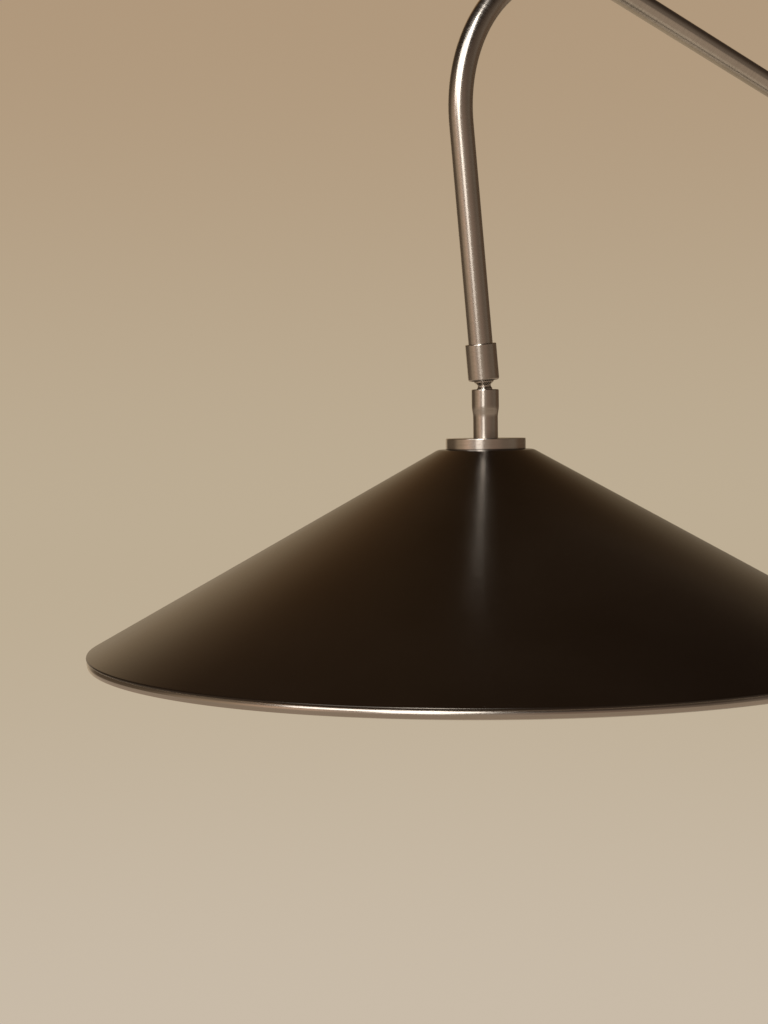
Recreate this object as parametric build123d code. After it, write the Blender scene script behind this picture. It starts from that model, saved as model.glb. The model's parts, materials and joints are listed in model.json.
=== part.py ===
from build123d import *
import os
from math import cos, radians, sin, sqrt, tan

# An arc floor lamp: a weighted round base, an upright tube, an arm tube that slides and turns in a
# clamp collar, and a wide conical shade on a ball joint. Millimetres, +Z up. The origin is on the
# floor, on the upright's axis. The arm lies in the XZ plane and its head end points towards -X.

# Arm, from the leg in the upright to the ball joint
arm_diameter = 16.0
arm_wall = 1.5
leg_reveal = 95.0  # straight leg showing between the collar and the lower bend
lower_bend_radius = 200.0
boom_length = 760.0
boom_slope = 17.3  # degrees above level, rising towards the head
head_bend_radius = 101.0
drop_length = 176.0  # end of the head bend to the ball centre
drop_lean = 5.8  # degrees off plumb: the drop runs back towards the stand as it comes down
joint_from_bend = 60.0  # place of the screwed joint in the boom, after the lower bend

# Travel of the arm in the upright
slide_up = 240.0
slide_down = 60.0
end_clearance = 5.0  # left beyond the travel, for the leg's end and for the lead

# Upright
upright_length = 1190.0
upright_wall = 1.5
glide_wall = 1.4  # nylon between the leg and the upright's bore
glide_length = 30.0
glide_plug_length = 22.0
glide_pin_radius = 1.5

# Clearances and small edges shared by many pieces
running_gap = 0.1
arm_gap = 0.3
joint_gap = 0.05
screw_radius = 2.0
screw_sink = 0.4  # grub screws end this far inside the surface
small_edge = 0.5
cut_over = 1.0  # a cutter runs past a face by this

# Base
base_radius = 190.0
base_height = 28.0
felt_thickness = 2.5
plate_thickness = 2.0
plate_screw_count = 6
plate_screw_circle = 150.0
plate_screw_length = 12.0
cover_thickness = 1.5
cover_edge_radius = 5.0
rim_band_height = 5.0
rim_band_thickness = 3.0
cover_to_weight = 0.3
felt_margin = 1.0  # the felt stays this far inside the plate
weight_side_gap = 0.5
weight_web = 5.0  # iron left above the nut recess
nut_recess_radius = 22.0
channel_width = 12.0
channel_depth = 15.0

# Threaded fittings
rod_radius = 5.0
rod_bore = 3.3
nut_height = 5.5
nut_across_flats = 15.0
washer_thickness = 1.5
washer_radius = 16.0
lead_diameter = 4.5
lead_gap = 1.0  # round the lead where it passes through a piece
inlet_radius = 5.0
inlet_flange_radius = 6.0
inlet_flange = 1.5
inlet_length = 12.0
inlet_hole = 3.3

# Foot of the upright
foot_hub_height = 20.0
foot_floor = 9.0  # metal under the upright tube
foot_edge = 0.6
hub_edge = 1.0
foot_screw_angles = (0, 120)

# Foot switch
switch_x = 128.0
switch_radius = 13.0
switch_pocket_gap = 0.5
button_radius = 9.5
button_flange = 1.2
button_travel = 3.5
button_stand = 4.5  # button above its bezel when it is pressed
button_gap = 0.3
button_wall = 2.0
button_roof = 3.0
button_edge = 3.0
flange_thickness = 2.0
flange_lift = 0.4  # gap over the button's flange at rest
housing_floor = 3.0
bezel_height = 2.5
bezel_wall = 1.4
bezel_edge = 0.8
spring_wire = 0.8
spring_radius = 5.5
spring_turns = 5

# Screwed joint in the boom
spigot_half = 35.0
spigot_tube_wall = 1.5
joint_screw_offset = 20.0

# Collar and clamp
collar_wall = 4.7  # metal outside the liner
collar_height = 46.0
collar_edge = 1.2
spigot_length = 18.0
spigot_wall = 1.45
plug_depth = 25.0
plug_flange = 2.0
groove_height = 4.0
groove_depth = 0.8
groove_gap = 0.25  # screw tips stay this far off the groove's floor
liner_wall = 2.2
liner_lip = 1.5
liner_gap = 1.0  # between the plug's spigot and the liner
clamp_height = 32.0  # clamp screw above the collar's lower edge
clamp_stud_radius = 3.0
clamp_pad_radius = 3.6
clamp_pad_thickness = 2.2
clamp_travel = 0.75  # pad and knob move out by this in the knob's three quarters of a turn
clamp_stud_grip = 8.0  # stud held inside the knob
knob_radius = 12.0
knob_length = 16.0
knob_neck = 4.0
knob_gap = 1.2
knob_edge = 1.5
knob_flutes = 18
flute_radius = 1.5
flute_centre = 0.9  # flute axis outside the knob's surface

# Ball joint: heights are above the ball centre
ferrule_wall = 2.2
ferrule_length = 24.1
ferrule_bottom = 10.4
ferrule_socket = 14.0
ferrule_foot_fillet = 1.6
ball_radius = 6.5
neck_radius = 4.6
neck_flare_radius = 5.9
neck_flare_height = 3.0
stud_thread_length = 9.0
seat_wall = 1.0
barrel_wall = 1.35
barrel_top = 4.7
barrel_floor = 0.8  # metal under the seat, where the two halves of the socket meet
barrel_taper = 5.0
stem_diameter = 16.3
tilt_clear = 22.5  # degrees: half angle of the socket's mouth

# Shade: depths are below the ball centre
cap_radius = 26.2
cap_thickness = 7.2
stem_bottom = 27.2
shade_radius = 261.8
shade_widest_depth = 162.7
shade_edge_turn = 0.6  # the lower edge turns in by this
shade_edge_height = 1.1
shade_apex_depth = 17.1
shade_thickness = 1.2
shade_shoulder_fillet = 6.0
band_height = 5.0
band_thickness = 3.0
band_taper = 0.6

# Lampholder and bulb
holder_cap_height = 14.0
holder_cap_radius = 15.0
holder_sleeve_radius = 19.0
holder_sleeve_length = 30.0
holder_sleeve_wall = 1.6
holder_core_height = 6.0
thread_wall = 0.6
thread_gap = 0.3
bulb_cap_radius = 13.2
bulb_cap_length = 24.0
bulb_tip_height = 3.0
bulb_radius = 30.0
bulb_length = 102.0
glass_wall = 1.0
shade_nut_height = 4.0
shade_washer_radius = 14.0


def turned(*points):
    """Solid of revolution about Z from (radius, height) corners in order."""
    outline = [(radius, 0, height) for radius, height in points]
    face = make_face(Polyline(*outline, close=True))
    return revolve(face, Axis.Z)


def ring(outer, inner, low, high):
    """Plain ring about Z."""
    return turned((inner, low), (outer, low), (outer, high), (inner, high))


def rod(radius, low, high):
    """Plain cylinder about Z."""
    return Pos(0, 0, low) * Cylinder(radius, high - low, align=(Align.CENTER, Align.CENTER, Align.MIN))


def eased(solid, size, *heights):
    """Chamfer the solid's outermost round edges at the given heights."""
    edges = []
    for height in heights:
        level = [e for e in solid.edges().filter_by(GeomType.CIRCLE) if abs(e.center().Z - height) < 1e-4]
        edges.append(max(level, key=lambda e: e.radius))
    return chamfer(edges, size)


def hex_nut(across_flats, height, bore):
    """Six-sided nut standing on Z = 0, with its corners eased."""
    corner = across_flats / sqrt(3)
    nut = extrude(RegularPolygon(corner, 6), height)
    lens = turned((0, 0), (corner - 0.8, 0), (corner + 0.05, 0.8), (corner + 0.05, height - 0.8),
                  (corner - 0.8, height), (0, height))
    return (nut & lens) - rod(bore, 0, height)


def in_plane(angle):
    """Unit vector in the arm's plane, at an angle in degrees up from +X towards +Z."""
    return Vector(cos(radians(angle)), 0, sin(radians(angle)))


# Levels of the stand
plate_top = felt_thickness + plate_thickness
band_top = felt_thickness + rim_band_height
weight_top = base_height - cover_thickness - cover_to_weight
weight_radius = base_radius - rim_band_thickness - weight_side_gap
recess_top = weight_top - weight_web
nut_bottom = recess_top - washer_thickness - nut_height
rod_bottom = nut_bottom - 0.5
lead_radius = lead_diameter / 2
channel_top = plate_top + channel_depth

arm_radius = arm_diameter / 2
arm_bore = arm_radius - arm_wall
glide_radius = arm_radius + glide_wall
upright_bore = glide_radius + running_gap
upright_radius = upright_bore + upright_wall
liner_bore = arm_radius + running_gap
liner_radius = liner_bore + liner_wall
collar_radius = liner_radius + collar_wall

foot_disc_height = cap_thickness
foot_hub_radius = collar_radius
foot_top = base_height + foot_disc_height + foot_hub_height
upright_bottom = base_height + foot_floor
upright_top = upright_bottom + upright_length
rod_top = upright_bottom + 3.0

spigot_bore = arm_radius + arm_gap
spigot_radius = spigot_bore + spigot_wall
spigot_foot = upright_top + plug_flange
spigot_top = spigot_foot + spigot_length
collar_bottom = spigot_foot + running_gap
collar_top = collar_bottom + collar_height
clamp_level = collar_bottom + clamp_height

# Centre line of the arm
bend_start = collar_top + leg_reveal
lower_centre = Vector(-lower_bend_radius, 0, bend_start)
boom_heading = in_plane(180 - boom_slope)
boom_normal = in_plane(90 - boom_slope)
boom_start = lower_centre + boom_normal * lower_bend_radius
joint_point = boom_start + boom_heading * joint_from_bend
boom_end = boom_start + boom_heading * boom_length
head_centre = boom_end - boom_normal * head_bend_radius
drop_start = head_centre + in_plane(180 + drop_lean) * head_bend_radius
drop_up = in_plane(90 + drop_lean)
ball = drop_start - drop_up * drop_length

# Lower end of the leg, below the plug at the arm's highest setting
glide_top = upright_top - plug_depth - slide_up - end_clearance
leg_end = glide_top - glide_length
glide_shoulder = leg_end + glide_length - glide_plug_length

# Frames of the ball joint: one along the drop, one plumb
drop_frame = Plane(origin=ball, x_dir=in_plane(drop_lean), z_dir=drop_up)
head_frame = Plane(origin=ball, x_dir=(1, 0, 0), z_dir=(0, 0, 1))
ferrule_top = ferrule_bottom + ferrule_length
tube_end = ferrule_top - ferrule_socket


def arc_between(centre, start_angle, end_angle, radius):
    """Arc in the arm's plane about a centre, between two angles in degrees."""
    first, middle, last = (centre + in_plane(a) * radius
                           for a in (start_angle, (start_angle + end_angle) / 2, end_angle))
    return ThreePointArc(first, middle, last)


def lower_path(start):
    """Centre line of the leg from a height, round the lower bend, to the boom joint."""
    leg = Line((0, 0, start), (0, 0, bend_start))
    bend = arc_between(lower_centre, 0, 90 - boom_slope, lower_bend_radius)
    return leg + bend + Line(boom_start, joint_point)


def upper_path(end):
    """Centre line from the boom joint, round the head bend, down the drop to a height over the ball."""
    boom = Line(joint_point, boom_end)
    bend = arc_between(head_centre, 90 - boom_slope, 180 + drop_lean, head_bend_radius)
    return boom + bend + Line(drop_start, ball + drop_up * end)


def piped(path, radius, bore=0.0):
    """Round tube or rod along a path."""
    start = path @ 0
    section = Plane(origin=start, z_dir=path % 0) * Circle(radius)
    if bore:
        section -= Plane(origin=start, z_dir=path % 0) * Circle(bore)
    return sweep(section, path=path)


# Base

def base_felt():
    """Felt disc that the lamp stands on."""
    return rod(base_radius - rim_band_thickness - felt_margin, 0, felt_thickness)


def plate_screw_places():
    """Places of the screws that hold the bottom plate, clear of the lead's channel."""
    return PolarLocations(plate_screw_circle, plate_screw_count, start_angle=180 / plate_screw_count)


def plate_screw():
    """Countersunk screw, head up to the plate's underside."""
    head, shank = 2 * screw_radius, screw_radius
    return turned((0, felt_thickness), (head, felt_thickness), (shank, plate_top),
                  (shank, plate_top + plate_screw_length), (0, plate_top + plate_screw_length))


def base_plate_screws():
    """The bottom plate's screws."""
    return [place * plate_screw() for place in plate_screw_places()]


def base_plate():
    """Steel plate that closes the recess and the channel under the weight."""
    plate = rod(base_radius - rim_band_thickness, felt_thickness, plate_top)
    return plate - base_plate_screws()


def base_weight():
    """Cast iron disc with a nut recess, a lead channel and a pocket for the switch."""
    weight = eased(rod(weight_radius, plate_top, weight_top), cover_edge_radius / 2, weight_top)
    weight -= rod(nut_recess_radius, plate_top, recess_top)
    weight -= rod(rod_radius, recess_top, weight_top)
    channel_length = base_radius
    weight -= Pos(channel_length / 2, 0, (plate_top + channel_top) / 2) * Box(
        channel_length, channel_width, channel_depth)
    weight -= Pos(switch_x, 0, 0) * rod(switch_radius + switch_pocket_gap, plate_top, weight_top)
    return weight - base_plate_screws()


def base_rim_band():
    """Bright band round the foot of the base."""
    band = ring(base_radius, base_radius - rim_band_thickness, felt_thickness, band_top)
    return eased(band, small_edge, felt_thickness)


def base_cover():
    """Spun cover over the weight, with holes for the rod, the switch and the inlet."""
    blank = rod(base_radius, band_top, base_height)
    blank = fillet(blank.edges().group_by(Axis.Z)[-1], cover_edge_radius)
    shell = offset(blank, amount=-cover_thickness, openings=blank.faces().sort_by(Axis.Z)[0])
    shell -= rod(rod_radius, 0, base_height)
    shell -= Pos(switch_x, 0, 0) * rod(bezel_spigot_radius, 0, base_height)
    return shell - inlet_bore(inlet_radius)


def base_rod():
    """Hollow threaded rod that ties the weight, the cover and the upright's foot together."""
    return ring(rod_radius, rod_bore, rod_bottom, rod_top)


def base_washer():
    """Washer under the weight's web."""
    return ring(washer_radius, rod_radius, recess_top - washer_thickness, recess_top)


def base_nut():
    """Nut under the washer."""
    return Pos(0, 0, nut_bottom) * hex_nut(nut_across_flats, nut_height, rod_radius)


inlet_level = band_top + inlet_radius + 1.0


def inlet_bore(radius):
    """Cutter through the back of the base, along X."""
    return Pos(base_radius, 0, inlet_level) * Rot(0, 90, 0) * Cylinder(radius, 4 * inlet_length)


def cable_inlet():
    """Flanged bush in the back of the base, where a supply lead enters."""
    bush = ring(inlet_radius, inlet_hole, -inlet_length, 0)
    bush += eased(ring(inlet_flange_radius, inlet_hole, 0, inlet_flange), small_edge, inlet_flange)
    return Pos(base_radius, 0, inlet_level) * Rot(0, 90, 0) * bush


# Foot switch, drawn on its own axis and moved to its place

switch_floor = plate_top + housing_floor
switch_top = base_height - cover_thickness
bezel_top = base_height + bezel_height
bezel_bore = button_radius + button_gap
bezel_spigot_radius = bezel_bore + bezel_wall
switch_bore = button_radius + button_flange + button_gap
flange_top = switch_top - flange_lift
flange_bottom = flange_top - flange_thickness
button_top = bezel_top + button_stand + button_travel
button_inner = button_radius - button_wall
lead_level = plate_top + lead_radius + 0.5


def at_switch(solid):
    """Move a solid drawn on Z to the switch's place."""
    return Pos(switch_x, 0, 0) * solid


def switch_housing():
    """Moulded cup that holds the spring and guides the button's flange."""
    cup = ring(switch_radius, switch_bore, switch_floor, switch_top)
    cup += rod(switch_radius, plate_top, switch_floor)
    return at_switch(cup)


def switch_bezel():
    """Bright ring on the cover round the button."""
    bezel = ring(switch_radius, bezel_bore, base_height, bezel_top)
    bezel = eased(bezel, bezel_edge, bezel_top)
    return at_switch(bezel + ring(bezel_spigot_radius, bezel_bore, switch_top, base_height))


def foot_button():
    """Domed push button, hollow below for its spring."""
    body = rod(button_radius, flange_bottom, button_top)
    body = fillet(body.edges().group_by(Axis.Z)[-1], button_edge)
    body += rod(button_radius + button_flange, flange_bottom, flange_top)
    body -= rod(button_inner, flange_bottom, button_top - button_roof)
    return at_switch(body)


def switch_spring():
    """Coil spring between the housing's floor and the button's roof."""
    low = switch_floor + spring_wire
    height = button_top - button_roof - spring_wire - low
    coil = Helix(height / spring_turns, height, spring_radius)
    wire = Plane(origin=coil @ 0, z_dir=coil % 0) * Circle(spring_wire / 2)
    return at_switch(Pos(0, 0, low) * sweep(wire, path=coil, is_frenet=True))


# Upright

foot_screw_level = base_height + foot_disc_height + foot_hub_height / 2


def upright_foot():
    """Turned foot: a disc on the cover and a hub that holds the tube."""
    disc_top = base_height + foot_disc_height
    disc = eased(rod(cap_radius, base_height, disc_top), foot_edge, disc_top)
    hub = eased(rod(foot_hub_radius, disc_top, foot_top), hub_edge, foot_top)
    foot = disc + hub
    foot -= rod(upright_radius, upright_bottom, foot_top)
    foot -= rod(rod_radius, base_height, upright_bottom)
    inner = upright_radius - cut_over
    return foot - [grub_hole(inner, foot_screw_level, angle) for angle in foot_screw_angles]


def pointing_in(solid, level, angle):
    """Move a solid drawn on Z to point away from the axis at a level and an angle."""
    return Rot(0, 0, angle) * Pos(0, 0, level) * Rot(0, 90, 0) * solid


def grub_screw(inner, outer, level, angle):
    """Headless screw pointing at the axis, with a driver's slot in its outer end."""
    slot = Pos(0, 0, outer) * Box(0.6, 4 * screw_radius, 1.6)
    return pointing_in(rod(screw_radius, inner, outer) - slot, level, angle)


def grub_hole(inner, level, angle):
    """Tapped hole for a grub screw, open to the outside."""
    return pointing_in(rod(screw_radius, inner, 2 * collar_radius), level, angle)


def upright_grub_screws():
    """Two screws that lock the tube in its foot."""
    outer = foot_hub_radius - screw_sink
    return [grub_screw(upright_radius, outer, foot_screw_level, angle) for angle in foot_screw_angles]


def upright_tube():
    """Fixed outer tube."""
    return ring(upright_radius, upright_bore, upright_bottom, upright_top)


groove_level = spigot_foot + spigot_length / 2
groove_radius = spigot_radius - groove_depth


def upright_top_plug():
    """Plug in the top of the upright: its spigot carries the collar and its groove keeps it on."""
    plug = ring(upright_bore, spigot_bore, upright_top - plug_depth, upright_top)
    plug += eased(ring(upright_radius, spigot_bore, upright_top, spigot_foot), small_edge, spigot_foot)
    plug += ring(spigot_radius, spigot_bore, spigot_foot, spigot_top)
    low, high = groove_level - groove_height / 2, groove_level + groove_height / 2
    return plug - ring(spigot_radius + cut_over, groove_radius, low, high)


# Collar, which turns on the plug's spigot and grips the arm

liner_bottom = spigot_top + liner_gap
collar_bore = spigot_radius + running_gap
collar_screw_angles = (60, 180, 300)


def clamp_cut(radius):
    """Cutter for the clamp screw, from the axis out towards +X."""
    long = 2 * collar_radius
    return Pos(long / 2, 0, clamp_level) * Rot(0, 90, 0) * Cylinder(radius, long)


def collar_grub_screws():
    """Three screws whose tips run in the plug's groove."""
    tip = groove_radius + groove_gap
    outer = collar_radius - screw_sink
    return [grub_screw(tip, outer, groove_level, angle) for angle in collar_screw_angles]


def collar_body():
    """Turned collar."""
    body = rod(collar_radius, collar_bottom, collar_top)
    body = eased(body, collar_edge, collar_top, collar_bottom)
    body -= rod(collar_bore, collar_bottom, liner_bottom)
    body -= rod(liner_radius, liner_bottom, collar_top - liner_lip)
    body -= rod(arm_radius + arm_gap, collar_top - liner_lip, collar_top)
    body -= clamp_cut(clamp_stud_radius)
    body -= on_clamp_axis(rod(clamp_pad_radius + running_gap, 0, pad_back + clamp_travel + arm_gap))
    inner = collar_bore - cut_over
    return body - [grub_hole(inner, groove_level, angle) for angle in collar_screw_angles]


def collar_liner():
    """Nylon sleeve between the collar and the arm."""
    liner = ring(liner_radius, liner_bore, liner_bottom, collar_top - liner_lip)
    return liner - clamp_cut(clamp_pad_radius + running_gap)


pad_face = arm_radius + running_gap
pad_back = pad_face + clamp_pad_thickness
knob_inner = collar_radius + knob_gap
knob_shoulder = knob_inner + knob_neck
knob_outer = knob_shoulder + knob_length
clamp_stud_end = knob_shoulder + clamp_stud_grip


def on_clamp_axis(solid):
    """Move a solid drawn on Z, outwards up, to the clamp screw's axis."""
    return Pos(0, 0, clamp_level) * Rot(0, 90, 0) * solid


def clamp_pad():
    """Nylon pad that the clamp screw presses on the arm."""
    return on_clamp_axis(rod(clamp_pad_radius, pad_face, pad_back))


def clamp_stud():
    """Threaded stud from the knob to the pad."""
    return on_clamp_axis(rod(clamp_stud_radius - running_gap, pad_back, clamp_stud_end))


def clamp_knob():
    """Fluted clamp knob."""
    knob_neck_radius = 2 * clamp_stud_radius
    knob = turned((knob_neck_radius, knob_inner), (knob_neck_radius, knob_shoulder - knob_edge),
                  (knob_radius - 2, knob_shoulder), (knob_radius, knob_shoulder + 2),
                  (knob_radius, knob_outer - knob_edge), (knob_radius - knob_edge, knob_outer),
                  (0, knob_outer), (0, knob_inner))
    flute = Pos(knob_radius + flute_centre, 0, 0) * rod(flute_radius, knob_shoulder + 1, knob_outer + 1)
    knob -= [Rot(0, 0, 360 * turn / knob_flutes) * flute for turn in range(knob_flutes)]
    return on_clamp_axis(knob - rod(clamp_stud_radius - running_gap, knob_inner, clamp_stud_end))


# Arm

boom_plane = Plane(origin=joint_point, x_dir=boom_normal, z_dir=boom_heading)

arm_screw_tip = arm_bore - 2.0
arm_screw_levels = (-joint_screw_offset, joint_screw_offset)


def arm_grub_screws():
    """Two screws under the boom that lock the joint's spigot, one each side of the joint."""
    outer = arm_radius - running_gap
    return [boom_plane * grub_screw(arm_screw_tip, outer, level, 180) for level in arm_screw_levels]


def arm_grub_holes():
    """Tapped holes for those screws."""
    return [boom_plane * grub_hole(arm_screw_tip, level, 180) for level in arm_screw_levels]


def arm_tube_lower():
    """Leg, lower bend and the first stretch of the boom."""
    tube = piped(lower_path(glide_shoulder), arm_radius, arm_bore)
    return tube - arm_grub_holes() - glide_pins()


def arm_tube_upper():
    """Rest of the boom, the head bend and the drop."""
    return piped(upper_path(tube_end), arm_radius, arm_bore) - arm_grub_holes()


def arm_spigot():
    """Hollow steel spigot inside the boom joint."""
    inner = arm_bore - spigot_tube_wall
    return boom_plane * ring(arm_bore, inner, -spigot_half, spigot_half) - arm_grub_holes()


def glide_pins():
    """Two short pins through the leg into its glide, one each side of the lead."""
    level = glide_shoulder + glide_plug_length / 2
    pin = rod(glide_pin_radius, lead_radius + 1.5 * lead_gap, arm_radius)
    return [Pos(0, 0, level) * Rot(side * 90, 0, 0) * pin for side in (-1, 1)]


def arm_glide():
    """Nylon glide on the leg's lower end: a wide foot that runs in the upright, and a sleeve."""
    glide = eased(rod(glide_radius, leg_end, glide_shoulder), 0.8, leg_end)
    glide += rod(arm_bore, glide_shoulder, glide_top)
    glide += ring(glide_radius, arm_radius, glide_shoulder, glide_top)
    return glide - rod(lead_radius + lead_gap, leg_end, glide_top) - glide_pins()


def arm_ferrule():
    """Turned ferrule on the end of the drop."""
    body = eased(rod(arm_radius + ferrule_wall, ferrule_bottom, ferrule_top), small_edge, ferrule_top)
    lowest = body.edges().filter_by(GeomType.CIRCLE).sort_by(Axis.Z)[0]
    body = fillet(lowest, ferrule_foot_fillet)
    body -= rod(arm_radius, tube_end, ferrule_top)
    return drop_frame * (body - rod(rod_radius + joint_gap, ferrule_bottom, tube_end))


# Ball joint

def ball_stud():
    """Ball, neck and thread in one piece. The neck widens under the ferrule, and the lead's way flares."""
    stud = Sphere(ball_radius)
    stud += rod(neck_radius, 0, ferrule_bottom)
    flare_low = ferrule_bottom - neck_flare_height
    stud += turned((0, flare_low), (neck_radius, flare_low), (neck_flare_radius, ferrule_bottom - 0.6),
                   (neck_flare_radius, ferrule_bottom), (0, ferrule_bottom))
    stud += rod(rod_radius, ferrule_bottom, ferrule_bottom + stud_thread_length)
    lead_way = lead_radius + 0.3
    flare = lead_way + ball_radius * tan(radians(tilt_clear + 3))
    stud -= turned((0, -ball_radius), (flare, -ball_radius), (lead_way, 0),
                   (lead_way, ferrule_bottom + stud_thread_length),
                   (0, ferrule_bottom + stud_thread_length))
    return drop_frame * stud


seat_inner = ball_radius + joint_gap
seat_outer = seat_inner + seat_wall
socket_radius = seat_outer + joint_gap
seat_foot = -(ball_radius - 1.5)  # open below, round the mouth of the lead's way
barrel_radius = socket_radius + barrel_wall
barrel_bottom = -(socket_radius + barrel_floor)


def mouth(gap, height):
    """Cone that the neck sweeps as the joint tilts, with a gap round it."""
    waist = neck_radius / cos(radians(tilt_clear)) + gap
    return turned((0, 0), (waist, 0), (waist + height * tan(radians(tilt_clear)), height), (0, height))


def ball_seat():
    """Nylon seat between the ball and the socket, open at the top for the neck."""
    seat = Sphere(seat_outer) - Sphere(seat_inner)
    seat -= rod(2 * seat_outer, -2 * seat_outer, seat_foot)
    return head_frame * (seat - mouth(0.1, 2 * seat_outer))


def socket_barrel():
    """Upper half of the socket, screwed on the stem's spigot."""
    body = eased(rod(barrel_radius, barrel_bottom, barrel_top), small_edge, barrel_top)
    body -= Sphere(socket_radius) + rod(socket_radius, barrel_bottom, 0)
    return head_frame * (body - mouth(0.3, 2 * barrel_top))


def shade_stem():
    """Lower half of the socket and the stem down to the cap disc."""
    outer = stem_diameter / 2
    body = turned((0, -stem_bottom), (outer, -stem_bottom), (outer, barrel_bottom - barrel_taper),
                  (barrel_radius, barrel_bottom), (0, barrel_bottom))
    body += rod(socket_radius, barrel_bottom, -0.5)
    body -= Sphere(socket_radius)
    body -= rod(lead_radius + lead_gap, -stem_bottom, 0)
    return head_frame * (body - rod(rod_radius, -stem_bottom, nipple_top))


# Shade

cap_bottom = stem_bottom + cap_thickness
shade_slope = (shade_widest_depth - shade_apex_depth) / shade_radius
shade_flat_radius = (cap_bottom - shade_apex_depth) / shade_slope
shade_edge_radius = shade_radius - shade_edge_turn
shade_edge_depth = shade_widest_depth + shade_edge_height
shade_inside = cap_bottom + shade_thickness
nipple_top = -(stem_bottom - 8.0)
washer_bottom = shade_inside + washer_thickness
shade_nut_bottom = washer_bottom + shade_nut_height
holder_bottom = shade_nut_bottom + holder_cap_height


def cap_disc():
    """Bright disc between the stem and the shade."""
    disc = eased(rod(cap_radius, -cap_bottom, -stem_bottom), foot_edge, -stem_bottom, -cap_bottom)
    return head_frame * (disc - rod(rod_radius, -cap_bottom, -stem_bottom))


def shade():
    """Spun conical shade with a flat top and a turned-in lower edge."""
    blank = turned((0, -cap_bottom), (shade_flat_radius, -cap_bottom), (shade_radius, -shade_widest_depth),
                   (shade_edge_radius, -shade_edge_depth), (0, -shade_edge_depth))
    shoulder = blank.edges().filter_by(GeomType.CIRCLE).sort_by(Axis.Z)[-1]
    blank = fillet(shoulder, shade_shoulder_fillet)
    shell = offset(blank, amount=-shade_thickness, openings=blank.faces().sort_by(Axis.Z)[0])
    return head_frame * (shell - rod(rod_radius, -shade_inside, -cap_bottom))


def shade_rim_band():
    """Bright band that finishes the shade's lower edge."""
    foot = shade_edge_depth + band_height
    inner = shade_edge_radius - band_thickness
    band = turned((inner, -shade_edge_depth), (shade_edge_radius, -shade_edge_depth),
                  (shade_edge_radius - band_taper, -foot), (inner, -foot))
    return head_frame * eased(band, small_edge, -foot)


def stem_nipple():
    """Hollow threaded tube through the cap disc, the shade and the lampholder's cap."""
    return head_frame * ring(rod_radius, rod_bore, -(shade_nut_bottom + 3), nipple_top)


def shade_washer():
    """Washer inside the shade."""
    return head_frame * ring(shade_washer_radius, rod_radius, -washer_bottom, -shade_inside)


def shade_nut():
    """Nut that clamps the shade to the cap disc."""
    nut = Pos(0, 0, -shade_nut_bottom) * hex_nut(nut_across_flats, shade_nut_height, rod_radius)
    return head_frame * nut


# Lampholder and bulb

core_bottom = holder_bottom + holder_core_height
bulb_tip = core_bottom + 1.0
bulb_cap_top = bulb_tip + bulb_tip_height
bulb_cap_bottom = bulb_cap_top + bulb_cap_length
thread_inner = bulb_cap_radius + thread_gap
thread_outer = thread_inner + thread_wall
sleeve_bottom = holder_bottom + holder_sleeve_length
bulb_bottom = bulb_tip + bulb_length
bulb_centre = bulb_bottom - bulb_radius


def lampholder_cap():
    """Moulded cap, hollow, that screws on the nipple."""
    top, bottom = -shade_nut_bottom, -holder_bottom
    cap = turned((0, top), (holder_cap_radius - 5, top), (holder_cap_radius, top - 5),
                 (holder_sleeve_radius, bottom), (0, bottom))
    wall = holder_sleeve_wall
    room = turned((0, top - 3 * wall), (holder_cap_radius - 5, top - 3 * wall),
                  (holder_sleeve_radius - 2 * wall, bottom), (0, bottom))
    return head_frame * (cap - room - rod(rod_radius, bottom, top))


def lampholder_sleeve():
    """Moulded sleeve round the lamp thread."""
    inner = holder_sleeve_radius - holder_sleeve_wall
    sleeve = ring(holder_sleeve_radius, inner, -sleeve_bottom, -holder_bottom)
    return head_frame * eased(sleeve, small_edge, -sleeve_bottom)


def lampholder_core():
    """Ceramic disc that carries the lamp thread and the centre contact."""
    core = rod(holder_sleeve_radius - holder_sleeve_wall, -core_bottom, -holder_bottom)
    return head_frame * (core - rod(lead_radius + 0.3, -core_bottom, -holder_bottom))


def lamp_thread():
    """Screw shell that takes the bulb."""
    return head_frame * ring(thread_outer, thread_inner, -(sleeve_bottom - 3), -core_bottom)


def lamp_contact():
    """Centre contact, a flat spring strip under the core."""
    return head_frame * Pos(0, 0, -(core_bottom + 0.4)) * Box(16, 5, 0.8)


def bulb_cap():
    """Bulb's screw cap with its insulated tip, closed at the top."""
    cap = turned((0, -bulb_tip), (4.5, -bulb_tip), (5.5, -bulb_tip - 1.5), (9.0, -bulb_cap_top),
                 (bulb_cap_radius - 1, -bulb_cap_top - 1), (bulb_cap_radius, -bulb_cap_top - 3),
                 (bulb_cap_radius, -bulb_cap_bottom), (bulb_cap_radius - 1, -bulb_cap_bottom),
                 (bulb_cap_radius - 1, -bulb_cap_top - 4), (0, -bulb_cap_top - 4))
    return head_frame * cap


def bulb_outline(inset):
    """Glass outline from the cap's mouth to the bottom, moved in by an inset."""
    neck = Line((bulb_cap_radius - inset, 0, -bulb_cap_bottom),
                (bulb_cap_radius - inset, 0, -bulb_cap_bottom - 4))
    radius, centre = bulb_radius - inset, Vector(0, 0, -bulb_centre)
    side = centre + in_plane(20) * radius
    flank = TangentArc(neck @ 1, side, tangent=(0.25, 0, -1))
    low = centre - Vector(0, 0, radius)
    round_side = ThreePointArc(side, centre + in_plane(-35) * radius, low)
    return neck + flank + round_side + Line(low, (0, 0, -bulb_cap_bottom)) + Line(
        (0, 0, -bulb_cap_bottom), neck @ 0)


def bulb_glass():
    """Opal glass envelope, hollow."""
    outer = revolve(make_face(bulb_outline(0)), Axis.Z)
    inner = revolve(make_face(bulb_outline(glass_wall)), Axis.Z)
    return head_frame * (outer - inner)


# Internal lead, in the stretches that stay with each moving part

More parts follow.
